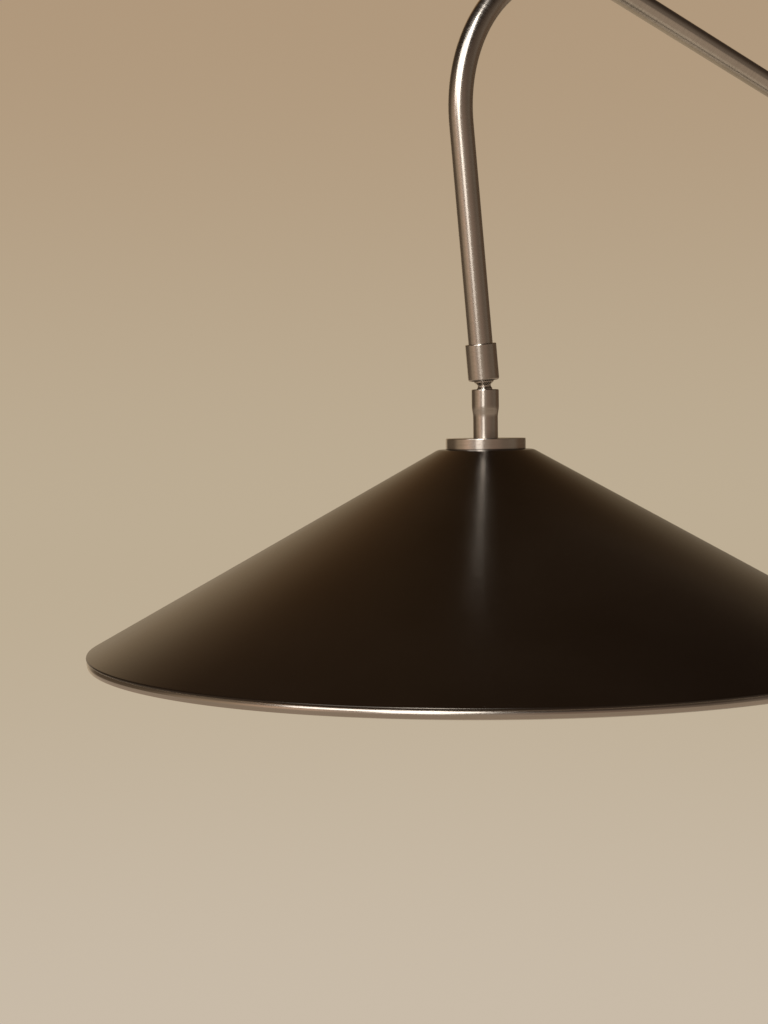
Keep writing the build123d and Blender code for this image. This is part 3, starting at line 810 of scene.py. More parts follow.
@dataclass
class Base:
    """Weighted round base: felt, bright band, spun cover and the inlet for a lead."""

    radius: float = 0.190
    felt_top: float = 0.0025
    felt_radius: float = 0.186
    band_top: float = 0.0075
    band_wall: float = 0.003
    band_edge: float = 0.0007
    cover_top: float = 0.028
    cover_wall: float = 0.0015
    cover_fillet: float = 0.005
    rod_radius: float = 0.005
    inlet_level: float = 0.0135
    inlet_radius: float = 0.005
    inlet_bore: float = 0.0033
    inlet_flange: float = 0.006
    inlet_flange_length: float = 0.0015
    inlet_length: float = 0.012
    switch_x: float = 0.128
    switch_hole: float = 0.0112
    cut_length: float = 0.02
    cut_steps: int = 64

    def felt(self) -> None:
        """Felt disc under the base, its edges softened."""
        soft = ROUNDED
        corners = [Corner(0, 0), Corner(self.felt_radius, 0, soft),
                   Corner(self.felt_radius, self.felt_top, soft), Corner(0, self.felt_top)]
        dress("floor_felt", spun(corners, FINE_STEPS), Finishes.FELT, Place("stand", "felt", "base_felt"))

    def band(self) -> None:
        """Bright band round the foot of the base."""
        inner, edge = self.radius - self.band_wall, self.band_edge
        corners = [Corner(inner, self.felt_top), Corner(self.radius, self.felt_top, edge),
                   Corner(self.radius, self.band_top, edge), Corner(inner, self.band_top)]
        dress("base_band", spun(corners, FINE_STEPS), Finishes.BAND,
              Place("stand", "nickel_turned", "base_rim_band"))

    def cover(self) -> None:
        """Spun cover with a rounded edge and holes for the switch and the inlet."""
        inner, under, edge = self.radius - self.cover_wall, self.cover_top - self.cover_wall, EASED
        corners = [
            Corner(self.rod_radius, self.cover_top), Corner(self.radius, self.cover_top, self.cover_fillet),
            Corner(self.radius, self.band_top, edge), Corner(inner, self.band_top),
            Corner(inner, under, self.cover_fillet - self.cover_wall), Corner(self.rod_radius, under),
        ]
        across, half_cut = self.cover_top - self.cover_wall / 2, self.cut_length / 2
        switch = pin(self.switch_hole, self.cut_length,
                     Matrix.Translation((self.switch_x, 0, across - half_cut)), self.cut_steps)
        inlet_start = Vector((self.radius - half_cut, 0, self.inlet_level))
        inlet = pin(self.inlet_radius, self.cut_length, pointing(Vector((1, 0, 0)), inlet_start),
                    self.cut_steps)
        dress("base_spun_cover", spun(corners, FINE_STEPS), Finishes.BASE_COVER,
              Place("stand", "bronze_cover", "base_cover"), [switch, inlet])

    def inlet(self) -> None:
        """Flanged bush in the back of the base."""
        corners = [
            Corner(self.inlet_bore, -self.inlet_length), Corner(self.inlet_radius, -self.inlet_length),
            Corner(self.inlet_radius, 0), Corner(self.inlet_flange, 0),
            Corner(self.inlet_flange, self.inlet_flange_length, SOFTENED),
            Corner(self.inlet_bore, self.inlet_flange_length, ROUNDED),
        ]
        place = pointing(Vector((1, 0, 0)), Vector((self.radius, 0, self.inlet_level)))
        dress("inlet_bush", moved(spun(corners), place), Finishes.BLACK,
              Place("stand", "black_plastic", "cable_inlet"))

    def build(self) -> None:
        """Make the base's pieces."""
        self.felt()
        self.band()
        self.cover()
        self.inlet()


@dataclass
class FootSwitch:
    """Bezel, push button and return spring in the base."""

    x: float = 0.128
    cover_top: float = 0.028
    cover_wall: float = 0.0015
    bezel_radius: float = 0.013
    bezel_top: float = 0.0305
    bezel_bore: float = 0.0098
    spigot_radius: float = 0.0112
    button_radius: float = 0.0095
    button_top: float = 0.0385
    button_dome: float = 0.0005
    button_fillet: float = 0.0022
    ring_radii: tuple[float, ...] = (0.0062, 0.0045)
    ring_depth: float = 0.0003
    ring_crease: float = 0.0001
    dome_fall: float = 0.0002
    flange_radius: float = 0.0107
    flange_low: float = 0.0241
    flange_high: float = 0.0261
    button_bore: float = 0.0075
    roof: float = 0.0355
    travel: float = 0.0035

    def bezel(self) -> None:
        """Bright ring round the button."""
        under = self.cover_top - self.cover_wall
        corners = [
            Corner(self.bezel_bore, under), Corner(self.spigot_radius, under),
            Corner(self.spigot_radius, self.cover_top), Corner(self.bezel_radius, self.cover_top, HAIRLINE),
            Corner(self.bezel_radius, self.bezel_top, FULL_ROUND),
            Corner(self.bezel_bore, self.bezel_top, BLUNTED),
        ]
        dress("switch_ring", moved(spun(corners), Matrix.Translation((self.x, 0, 0))), Finishes.TURNED,
              Place("stand", "nickel_turned", "switch_bezel"))

    def button(self) -> None:
        """Hollow push button with a shallow dome and two grip rings."""
        top, depth = self.button_top, self.ring_depth
        rings = []
        for radius in self.ring_radii:
            rings += [Corner(radius + depth, top - self.dome_fall),
                      Corner(radius, top - self.dome_fall - depth, self.ring_crease),
                      Corner(radius - depth, top - self.dome_fall / 2)]
        corners = [
            Corner(self.button_bore, self.flange_low), Corner(self.flange_radius, self.flange_low),
            Corner(self.flange_radius, self.flange_high, BROKEN),
            Corner(self.button_radius, self.flange_high),
            Corner(self.button_radius, top - self.button_dome, self.button_fillet), *rings, Corner(0, top),
            Corner(0, self.roof), Corner(self.button_bore, self.roof, BLUNTED),
        ]
        dress("push_button", moved(spun(corners), Matrix.Translation((self.x, 0, 0))), Finishes.TURNED,
              Place("button", "nickel_turned", "foot_button"))

    def spring(self) -> None:
        """Return spring on a mesh of its own. On the lamp it shortens as the button goes down."""
        bm = bmesh.new()
        bm.from_mesh(frame["nodes"]["switch_spring"].data)
        bmesh.ops.remove_doubles(bm, verts=bm.verts[:], dist=MERGE_DISTANCE)
        piece = dress("return_spring", bm, Finishes.STEEL, Place("stand", "steel_parts", "switch_spring"))
        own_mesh(piece)

    def build(self) -> None:
        """Make the switch's pieces."""
        self.bezel()
        self.button()
        self.spring()


@dataclass
class Upright:
    """Upright tube with its turned foot and its top plug."""

    floor: float = 0.028
    disc_radius: float = 0.0262
    disc_top: float = 0.0352
    hub_radius: float = 0.015
    hub_top: float = 0.0552
    tube_low: float = 0.037
    tube_high: float = 1.227
    tube_radius: float = 0.011
    tube_bore: float = 0.0095
    rod_radius: float = 0.005
    screw_radius: float = 0.002
    screw_level: float = 0.0452
    screw_angles: tuple[float, ...] = (0.0, 120.0)
    plug_depth: float = 0.025
    flange_top: float = 1.229
    spigot_top: float = 1.247
    spigot_radius: float = 0.00975
    spigot_bore: float = 0.0083
    groove_radius: float = 0.00895
    groove_low: float = 1.236
    groove_high: float = 1.240

    def foot(self) -> None:
        """Turned foot: a disc, a hub and two screw holes."""
        corners = [
            Corner(self.rod_radius, self.floor), Corner(self.disc_radius, self.floor, BROKEN),
            Corner(self.disc_radius, self.disc_top, ROUNDED),
            Corner(self.hub_radius, self.disc_top, FULL_ROUND),
            Corner(self.hub_radius, self.hub_top, FULL_ROUND),
            Corner(self.tube_radius, self.hub_top, HAIRLINE), Corner(self.tube_radius, self.tube_low),
            Corner(self.rod_radius, self.tube_low),
        ]
        start = self.tube_radius - CUT_SPARE
        holes = [pin(self.screw_radius, self.hub_radius, screw_way(start, self.screw_level, angle))
                 for angle in self.screw_angles]
        dress("upright_turned_foot", spun(corners), Finishes.TURNED,
              Place("stand", "nickel_turned", "upright_foot"), holes)

    def tube(self) -> None:
        """Fixed tube, open at both ends."""
        edge = HAIRLINE
        corners = [
            Corner(self.tube_bore, self.tube_low), Corner(self.tube_radius, self.tube_low),
            Corner(self.tube_radius, self.tube_high, edge), Corner(self.tube_bore, self.tube_high, edge),
        ]
        dress("upright_brushed_tube", spun(corners), Finishes.TUBE,
              Place("stand", "nickel_tube", "upright_tube"))

    def plug(self) -> None:
        """Plug in the tube's top: its spigot carries the collar."""
        low = self.tube_high - self.plug_depth
        corners = [
            Corner(self.spigot_bore, low), Corner(self.tube_bore, low, BROKEN),
            Corner(self.tube_bore, self.tube_high), Corner(self.tube_radius, self.tube_high, HAIRLINE),
            Corner(self.tube_radius, self.flange_top, SOFTENED),
            Corner(self.spigot_radius, self.flange_top), Corner(self.spigot_radius, self.groove_low),
            Corner(self.groove_radius, self.groove_low), Corner(self.groove_radius, self.groove_high),
            Corner(self.spigot_radius, self.groove_high),
            Corner(self.spigot_radius, self.spigot_top, EASED), Corner(self.spigot_bore, self.spigot_top),
        ]
        dress("upright_plug", spun(corners), Finishes.TURNED,
              Place("stand", "nickel_turned", "upright_top_plug"))

    def build(self) -> None:
        """Make the upright's pieces."""
        self.foot()
        self.tube()
        self.plug()


def screw_way(start: float, level: float, angle: float) -> Matrix:
    """Transform for a cutter that points away from the Z axis.

    Args:
        start: Distance from the axis at which it starts.
        level: Its height.
        angle: Its direction about the axis, in degrees.

    Returns:
        The transform.
    """
    outwards = Vector((cos(radians(angle)), sin(radians(angle)), 0))
    return pointing(outwards, outwards * start + Vector((0, 0, level)))


@dataclass
class Collar:
    """Turned collar on top of the upright, and its clamp knob."""

    radius: float = 0.015
    low: float = 1.2291
    high: float = 1.2751
    edge: float = 0.0012
    spigot_bore: float = 0.00985
    liner_low: float = 1.248
    liner_high: float = 1.2736
    liner_bore: float = 0.0103
    arm_bore: float = 0.0083
    clamp_level: float = 1.2611
    stud_radius: float = 0.003
    pad_radius: float = 0.0037
    pad_room: float = 0.01135
    screw_radius: float = 0.002
    screw_level: float = 1.238
    screw_angles: tuple[float, ...] = (60.0, 180.0, 300.0)
    knob_radius: float = 0.012
    knob_inner: float = 0.0162
    knob_shoulder: float = 0.0202
    knob_outer: float = 0.0362
    knob_neck: float = 0.006
    knob_bore: float = 0.0029
    knob_bore_end: float = 0.0282
    knob_rim: float = 0.0068
    knob_sunk: float = 0.0005
    knob_cove: float = 0.0015
    knob_chamfer: float = 0.002
    knob_fillet: float = 0.0014
    knob_steps: int = 126
    flutes: int = 18
    flute_radius: float = 0.0015
    flute_circle: float = 0.0129
    flute_start: float = 0.0013
    flute_steps: int = 21

    def outwards(self, start: float) -> Matrix:
        """Transform for something drawn on Z that points out along the clamp's axis from a distance."""
        return pointing(Vector((1, 0, 0)), Vector((start, 0, self.clamp_level)))

    def body(self) -> None:
        """Turned collar with its bores, screw holes and clamp hole."""
        corners = [
            Corner(self.spigot_bore, self.low), Corner(self.radius, self.low, self.edge),
            Corner(self.radius, self.high, self.edge), Corner(self.arm_bore, self.high, EASED),
            Corner(self.arm_bore, self.liner_high), Corner(self.liner_bore, self.liner_high),
            Corner(self.liner_bore, self.liner_low), Corner(self.spigot_bore, self.liner_low),
        ]
        start = self.spigot_bore - CUT_SPARE
        holes = [pin(self.screw_radius, self.radius, screw_way(start, self.screw_level, angle))
                 for angle in self.screw_angles]
        holes.append(pin(self.stud_radius, self.radius + CUT_SPARE, self.outwards(0.0)))
        holes.append(pin(self.pad_radius, self.pad_room, self.outwards(0.0)))
        dress("arm_collar", spun(corners), Finishes.TURNED,
              Place("collar", "nickel_turned", "collar_body"), holes)

    def knob(self) -> None:
        """Fluted knob with a sunk end face."""
        sunk_face = self.knob_outer - self.knob_sunk
        corners = [
            Corner(self.knob_bore, self.knob_inner), Corner(self.knob_neck, self.knob_inner, EASED),
            Corner(self.knob_neck, self.knob_shoulder - self.knob_cove, ROUNDED),
            Corner(self.knob_radius - self.knob_chamfer, self.knob_shoulder, SOFTENED),
            Corner(self.knob_radius, self.knob_shoulder + self.knob_chamfer, FULL_ROUND),
            Corner(self.knob_radius, self.knob_outer, self.knob_fillet),
            Corner(self.knob_rim, self.knob_outer, BROKEN),
            Corner(self.knob_rim - self.knob_sunk, sunk_face, BROKEN), Corner(0, sunk_face),
            Corner(0, self.knob_bore_end), Corner(self.knob_bore, self.knob_bore_end),
        ]
        length = self.knob_outer - self.knob_shoulder
        cutters = []
        for turn in range(self.flutes):
            around = Matrix.Rotation(2 * pi * turn / self.flutes, 4, "Z")
            aside = Matrix.Translation((self.flute_circle, 0, self.flute_start))
            cutters.append(pin(self.flute_radius, length, self.outwards(self.knob_shoulder) @ around @ aside,
                               self.flute_steps))
        dress("clamp_fluted_knob", moved(spun(corners, self.knob_steps), self.outwards(0.0)), Finishes.TURNED,
              Place("knob", "nickel_turned", "clamp_knob"), cutters)

    def build(self) -> None:
        """Make the collar's pieces."""
        self.body()
        self.knob()


# ---------------------------------------------------------------------------------------------------------
# Arm
# ---------------------------------------------------------------------------------------------------------


@dataclass(frozen=True)
class Straight:
    """Straight stretch of a tube."""

    length: float


@dataclass(frozen=True)
class Bend:
    """Bend of a tube towards the head's side, in the arm's plane."""

    radius: float
    angle: float


class DrawnTube:
    """A tube drawn along straights and bends in the arm's plane, with an outer and an inner wall."""

    def __init__(self, start: Vector, heading: float, radius: float, bore: float, facets: int = 72) -> None:
        """Draw the ring of the tube's first end.

        Args:
            start: Centre of its first end.
            heading: Its first direction, in degrees up from +X.
            radius: Outer radius.
            bore: Inner radius.
            facets: Faces round it.
        """
        self.centre = start.copy()
        self.heading = heading
        self.length = 0.0
        self.radius = radius
        self.bm = bmesh.new()
        self.run = self.bm.verts.layers.float.new(RUN_LAYER)
        self.around = self.bm.verts.layers.float.new(AROUND_LAYER)
        facing = pointing(in_plane(heading), start)
        rings = [bmesh.ops.create_circle(self.bm, segments=facets, radius=size, matrix=facing)["verts"]
                 for size in (radius, bore)]
        edges = [edge for ring in rings for edge in {edge for vertex in ring for edge in vertex.link_edges}]
        self.end = bmesh.ops.bridge_loops(self.bm, edges=edges)["faces"]
        self.first_rims = self.rims()
        self.mark([vertex for ring in rings for vertex in ring])

    def rims(self) -> list[bmesh.types.BMEdge]:
        """Edges of the end face's two circles."""
        faces = set(self.end)
        return [edge for edge in {edge for face in self.end for edge in face.edges}
                if sum(face in faces for face in edge.link_faces) == 1]

    def mark(self, verts: Iterable[bmesh.types.BMVert]) -> None:
        """Write where the end's vertices are along and around the tube.

        Args:
            verts: The vertices.
        """
        upwards = in_plane(self.heading + 90)
        for vertex in verts:
            offset = vertex.co - self.centre
            vertex[self.run] = self.length
            vertex[self.around] = atan2(offset.y, offset.dot(upwards)) / (2 * pi)

    def grow(self, transform: Matrix, length: float, turn: float) -> None:
        """Draw the end on to its next place.

        Args:
            transform: From its place to the next.
            length: Distance along the tube's middle.
            turn: Change of direction, in degrees.
        """
        before, is_first = self.end, self.length == 0.0
        drawn = bmesh.ops.extrude_face_region(self.bm, geom=before)["geom"]
        verts = [item for item in drawn if isinstance(item, bmesh.types.BMVert)]
        self.end = [item for item in drawn if isinstance(item, bmesh.types.BMFace)]
        if not is_first:
            left = [face for face in before if face.is_valid]
            bmesh.ops.delete(self.bm, geom=left, context="FACES")
        bmesh.ops.transform(self.bm, matrix=transform, verts=verts)
        self.centre = transform @ self.centre
        self.heading += turn
        self.length += length
        self.mark(verts)

    def follow(self, move: Straight | Bend) -> None:
        """Draw one stretch.

        Args:
            move: The stretch.
        """
        if isinstance(move, Straight):
            self.grow(Matrix.Translation(in_plane(self.heading) * move.length), move.length, 0.0)
            return
        steps = max(round(abs(move.angle) / 1.5), 8)
        pivot = self.centre + in_plane(self.heading + 90) * move.radius
        turn = move.angle / steps
        swing = (Matrix.Translation(pivot) @ Matrix.Rotation(-radians(turn), 4, "Y")
                 @ Matrix.Translation(-pivot))
        for _ in range(steps):
            self.grow(swing, radians(turn) * move.radius, turn)

    def unwrap(self) -> None:
        """Unwrap the tube: one turn is one unit across, and the run along it is in metres."""
        unwrapped = self.bm.loops.layers.uv.new(UV_NAME)
        for face in self.bm.faces:
            turns = [loop.vert[self.around] for loop in face.loops]
            highest = max(turns)
            for loop, turn in zip(face.loops, turns):
                loop[unwrapped].uv = (turn + (1.0 if highest - turn > 0.5 else 0.0), loop.vert[self.run])

    def draw(self, moves: Sequence[Straight | Bend], edge: float) -> bmesh.types.BMesh:
        """Draw the whole tube and ease the edges of its ends.

        Args:
            moves: The stretches, in order.
            edge: Width of the eased edge.

        Returns:
            The finished mesh.
        """
        for move in moves:
            self.follow(move)
        bmesh.ops.bevel(self.bm, geom=self.first_rims + self.rims(), offset=edge, offset_type="OFFSET",
                        affect="EDGES", segments=2, profile=0.5, material=-1)
        bmesh.ops.recalc_face_normals(self.bm, faces=self.bm.faces[:])
        self.unwrap()
        return self.bm


@dataclass
class Arm:
    """Bent arm: a lower tube with the leg, an upper tube with the drop, and the ferrule on its end."""

    radius: float = 0.00796
    bore: float = 0.0065
    lower_bend: float = 0.200
    boom: float = 0.760
    slope: float = 17.3
    head_bend: float = 0.101
    drop: float = 0.176
    lean: float = 5.8
    joint_from_bend: float = 0.060
    joint_edge: float = 0.00035
    screw_offset: float = 0.020
    screw_radius: float = 0.002
    screw_cut: float = 0.006
    ferrule_radius: float = 0.0102
    ferrule_fillet: float = 0.0016
    ferrule_low: float = 0.0104
    ferrule_high: float = 0.0345
    ferrule_socket: float = 0.014
    thread_bore: float = 0.00505
    ball: Vector = field(default_factory=lambda: joint_place("head_tilt"))

    def drop_up(self) -> Vector:
        """Direction from the ball up the drop."""
        return in_plane(90 + self.lean)

    def joint_point(self) -> Vector:
        """Centre of the screwed joint in the boom, worked back from the ball."""
        drop_start = self.ball + self.drop_up() * self.drop
        head_centre = drop_start - in_plane(180 + self.lean) * self.head_bend
        boom_end = head_centre + in_plane(90 - self.slope) * self.head_bend
        return boom_end - in_plane(180 - self.slope) * (self.boom - self.joint_from_bend)

    def screw_holes(self) -> list[bmesh.types.BMesh]:
        """Cutters for the two screws under the boom, one each side of its joint."""
        under = in_plane(90 - self.slope) * -1
        along = in_plane(180 - self.slope)
        middle = self.joint_point() + under * (self.bore + self.radius - self.screw_cut) / 2
        return [pin(self.screw_radius, self.screw_cut,
                    pointing(under, middle + along * side * self.screw_offset))
                for side in (-1, 1)]

    def lower_tube(self) -> None:
        """Leg, lower bend and the first stretch of the boom."""
        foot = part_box("arm_tube_lower")[0].z
        turn = 90 - self.slope
        bend_end = self.joint_point() - in_plane(180 - self.slope) * self.joint_from_bend
        bend_start = (bend_end - in_plane(turn) * self.lower_bend).z
        tube = DrawnTube(Vector((0, 0, foot)), 90.0, self.radius, self.bore)
        moves = [Straight(bend_start - foot), Bend(self.lower_bend, turn), Straight(self.joint_from_bend)]
        dress("arm_lower_tube", tube.draw(moves, self.joint_edge), Finishes.TUBE,
              Place("arm", "nickel_tube", "arm_tube_lower"), self.screw_holes()[:1])

    def upper_tube(self) -> None:
        """Rest of the boom, the head bend and the drop."""
        tube = DrawnTube(self.joint_point(), 180 - self.slope, self.radius, self.bore)
        tube_end = self.ferrule_high - self.ferrule_socket
        screwed = 2 * self.screw_offset
        moves = [Straight(screwed), Straight(self.boom - self.joint_from_bend - screwed),
                 Bend(self.head_bend, 90 + self.lean + self.slope), Straight(self.drop - tube_end)]
        dress("arm_upper_tube", tube.draw(moves, self.joint_edge), Finishes.TUBE,
              Place("arm", "nickel_tube", "arm_tube_upper"), self.screw_holes()[1:])

    def ferrule(self) -> None:
        """Turned ferrule on the end of the drop, rounded below."""
        seat = self.ferrule_high - self.ferrule_socket
        corners = [
            Corner(self.thread_bore, self.ferrule_low),
            Corner(self.ferrule_radius, self.ferrule_low, self.ferrule_fillet),
            Corner(self.ferrule_radius, self.ferrule_high, SOFTENED),
            Corner(self.radius, self.ferrule_high, HAIRLINE), Corner(self.radius, seat),
            Corner(self.thread_bore, seat),
        ]
        dress("drop_ferrule", moved(spun(corners), pointing(self.drop_up(), self.ball)), Finishes.TURNED,
              Place("arm", "nickel_turned", "arm_ferrule"))

    def build(self) -> None:
        """Make the arm's pieces."""
        self.lower_tube()
        self.upper_tube()
        self.ferrule()


# ---------------------------------------------------------------------------------------------------------
# Head
# ---------------------------------------------------------------------------------------------------------


def below_ball(corners: Sequence[Corner], steps: int = SMALL_STEPS) -> bmesh.types.BMesh:
    """Turn an outline about the plumb line through the ball.

    Args:
        corners: Closed outline, its heights measured from the ball's centre.
        steps: Facets in one turn.

    Returns:
        The mesh in its place.
    """
    return moved(spun(corners, steps), Matrix.Translation(joint_place("head_tilt")))


@dataclass
class BallJoint:
    """Ball stud in the ferrule, and the two halves of the socket. Heights are above the ball's centre."""

    ball_radius: float = 0.0065
    neck_radius: float = 0.0043
    neck_waist: float = 0.0066
    skirt_radius: float = 0.0051
    skirt_top: float = 0.0053
    neck_top: float = 0.01037
    flare_radius: float = 0.0064
    flare_low: float = 0.0078
    flare_rim: float = 0.0008
    flare_fillet: float = 0.0012
    thread_radius: float = 0.005
    thread_top: float = 0.0194
    lead_bore: float = 0.00255
    lead_mouth_angle: float = -43.8
    socket: float = 0.0076
    bowl_top: float = -0.0005
    bowl_angle: float = -4.5
    barrel_radius: float = 0.00895
    barrel_top: float = 0.0047
    barrel_low: float = -0.0084
    barrel_edge: float = 0.0007
    barrel_bend: float = -0.0072
    curve: float = 0.015
    mouth_radius: float = 0.007226
    mouth_angle: float = 27.6
    stem_radius: float = 0.00815
    stem_bend: float = -0.0124
    stem_low: float = -0.0272
    stem_bore: float = 0.00325
    nipple_top: float = -0.0192
    lean: float = 5.8

    def stud(self) -> None:
        """Ball, neck and thread in one piece, with the lead's way through it."""
        neck_angle = self.latitude(self.skirt_radius, self.ball_radius)
        corners = [
            Corner(self.lead_bore, self.thread_top), Corner(self.thread_radius, self.thread_top, EASED),
            Corner(self.thread_radius, self.neck_top), Corner(self.flare_radius, self.neck_top),
            Corner(self.flare_radius, self.neck_top - self.flare_rim, BROKEN),
            Corner(self.neck_radius, self.flare_low, self.flare_fillet),
            Corner(self.neck_radius, self.neck_waist, SOFTENED),
            Corner(self.skirt_radius, self.skirt_top, BROKEN),
            *on_arc(self.ball_radius, neck_angle, self.lead_mouth_angle, 20), Corner(self.lead_bore, 0),
        ]
        place = pointing(in_plane(90 + self.lean), joint_place("head_tilt"))
        dress("ball_and_neck", moved(spun(corners), place), Finishes.TURNED,
              Place("stud", "nickel_turned", "ball_stud"))

    @staticmethod
    def latitude(radius: float, sphere: float) -> float:
        """Angle above level at which a sphere has a given radius, in degrees."""
        return atan2(sqrt(sphere ** 2 - radius ** 2), radius) * 180 / pi

    def seam_radius(self) -> float:
        """Radius of the socket's outside where its two halves meet, on the taper."""
        share = (self.barrel_bend - self.barrel_low) / (self.barrel_bend - self.stem_bend)
        return self.barrel_radius - share * (self.barrel_radius - self.stem_radius)

    def barrel(self) -> None:
        """Upper half of the socket, its mouth open for the neck."""
        corners = [
            Corner(self.socket, self.barrel_low), Corner(self.seam_radius(), self.barrel_low),
            Corner(self.barrel_radius, self.barrel_bend, self.curve),
            Corner(self.barrel_radius, self.barrel_top, self.barrel_edge),
            Corner(self.mouth_radius, self.barrel_top, HAIRLINE),
            *on_arc(self.socket, self.mouth_angle, 0, 8),
        ]
        dress("socket_upper", below_ball(corners), Finishes.TURNED,
              Place("head", "nickel_turned", "socket_barrel"))

    def stem(self) -> None:
        """Lower half of the socket, drawn in to the stem in one smooth curve."""
        bore_angle = -self.latitude(self.stem_bore, self.socket)
        corners = [
            Corner(self.thread_radius, self.stem_low), Corner(self.stem_radius, self.stem_low, HAIRLINE),
            Corner(self.stem_radius, self.stem_bend, self.curve),
            Corner(self.seam_radius(), self.barrel_low), Corner(self.socket, self.barrel_low),
            Corner(self.socket, self.bowl_top), *on_arc(self.socket, self.bowl_angle, bore_angle, 12),
            Corner(self.stem_bore, self.nipple_top), Corner(self.thread_radius, self.nipple_top),
        ]
        dress("shade_stem_turned", below_ball(corners), Finishes.TURNED,
              Place("head", "nickel_turned", "shade_stem"))

    def build(self) -> None:
        """Make the ball joint's pieces."""
        self.stud()
        self.barrel()
        self.stem()


@dataclass
class Shade:
    """Wide spun shade with its cap disc and bright band. Heights are above the ball's centre."""

    cap_radius: float = 0.0262
    cap_top: float = -0.0272
    cap_low: float = -0.0344
    cap_edge: float = 0.0005
    hole: float = 0.005
    apex: float = -0.0171
    radius: float = 0.2618
    widest: float = -0.1627
    edge_radius: float = 0.2612
    edge: float = -0.1638
    wall: float = 0.0012
    shoulder: float = 0.006
    band_low: float = -0.1688
    band_foot: float = 0.2606
    band_wall: float = 0.003
    band_shoulder: float = -0.1657
    band_roll: float = 0.003
    band_lip: float = 0.2606
    band_crease: float = 0.0001
    groove: float = 0.2596
    groove_low: float = -0.1642

    def slope(self) -> float:
        """Fall of the cone for each unit of radius."""
        return (self.apex - self.widest) / self.radius

    def cap(self) -> None:
        """Thick bright disc between the stem and the shade."""
        corners = [
            Corner(self.hole, self.cap_low), Corner(self.cap_radius, self.cap_low, self.cap_edge),
            Corner(self.cap_radius, self.cap_top, self.cap_edge), Corner(self.hole, self.cap_top),
        ]
        dress("cap_disc_turned", below_ball(corners, FINE_STEPS // 2), Finishes.TURNED,
              Place("head", "nickel_turned", "cap_disc"))

    def shell(self) -> None:
        """Conical shade: lacquered outside and white inside."""
        slope = self.slope()
        inner_apex = self.apex - self.wall * sqrt(1 + slope ** 2)
        flat = (self.apex - self.cap_low) / slope
        inner_flat = (inner_apex - self.cap_low + self.wall) / slope
        inner_edge = self.edge_radius - self.wall
        corners = [
            Corner(self.hole, self.cap_low), Corner(flat, self.cap_low, self.shoulder),
            Corner(self.radius, self.widest, FULL_ROUND), Corner(self.edge_radius, self.edge, BROKEN),
            Corner(inner_edge, self.edge), Corner(inner_edge, inner_apex - slope * inner_edge, EASED),
            Corner(inner_flat, self.cap_low - self.wall, self.shoulder - self.wall),
            Corner(self.hole, self.cap_low - self.wall),
        ]
        shade = dress("shade_shell", below_ball(corners, FINE_STEPS),
                      Finishes.SHADE_OUTSIDE, Place("head", "bronze_shade", "shade"))
        shade.data.materials.append(Finishes.SHADE_INSIDE.value.material())
        centre = joint_place("head_tilt")
        for face in shade.data.polygons:
            outwards = (face.center - centre).xy.normalized()
            face.material_index = int(face.normal.z < 0.1 and face.normal.xy.dot(outwards) < 0.1)

    def band(self) -> None:
        """Bright band under the shade, rolled over at its top."""
        inner = self.edge_radius - self.band_wall
        corners = [
            Corner(inner, self.band_low), Corner(self.band_foot, self.band_low, ROUNDED),
            Corner(self.edge_radius, self.band_shoulder, self.band_roll),
            Corner(self.band_lip, self.groove_low, self.band_crease), Corner(self.groove, self.groove_low),
            Corner(self.groove, self.edge), Corner(inner, self.edge),
        ]
        dress("shade_band", below_ball(corners, FINE_STEPS), Finishes.BAND,
              Place("head", "nickel_turned", "shade_rim_band"))

    def build(self) -> None:
        """Make the shade's pieces."""
        self.cap()
        self.shell()
        self.band()


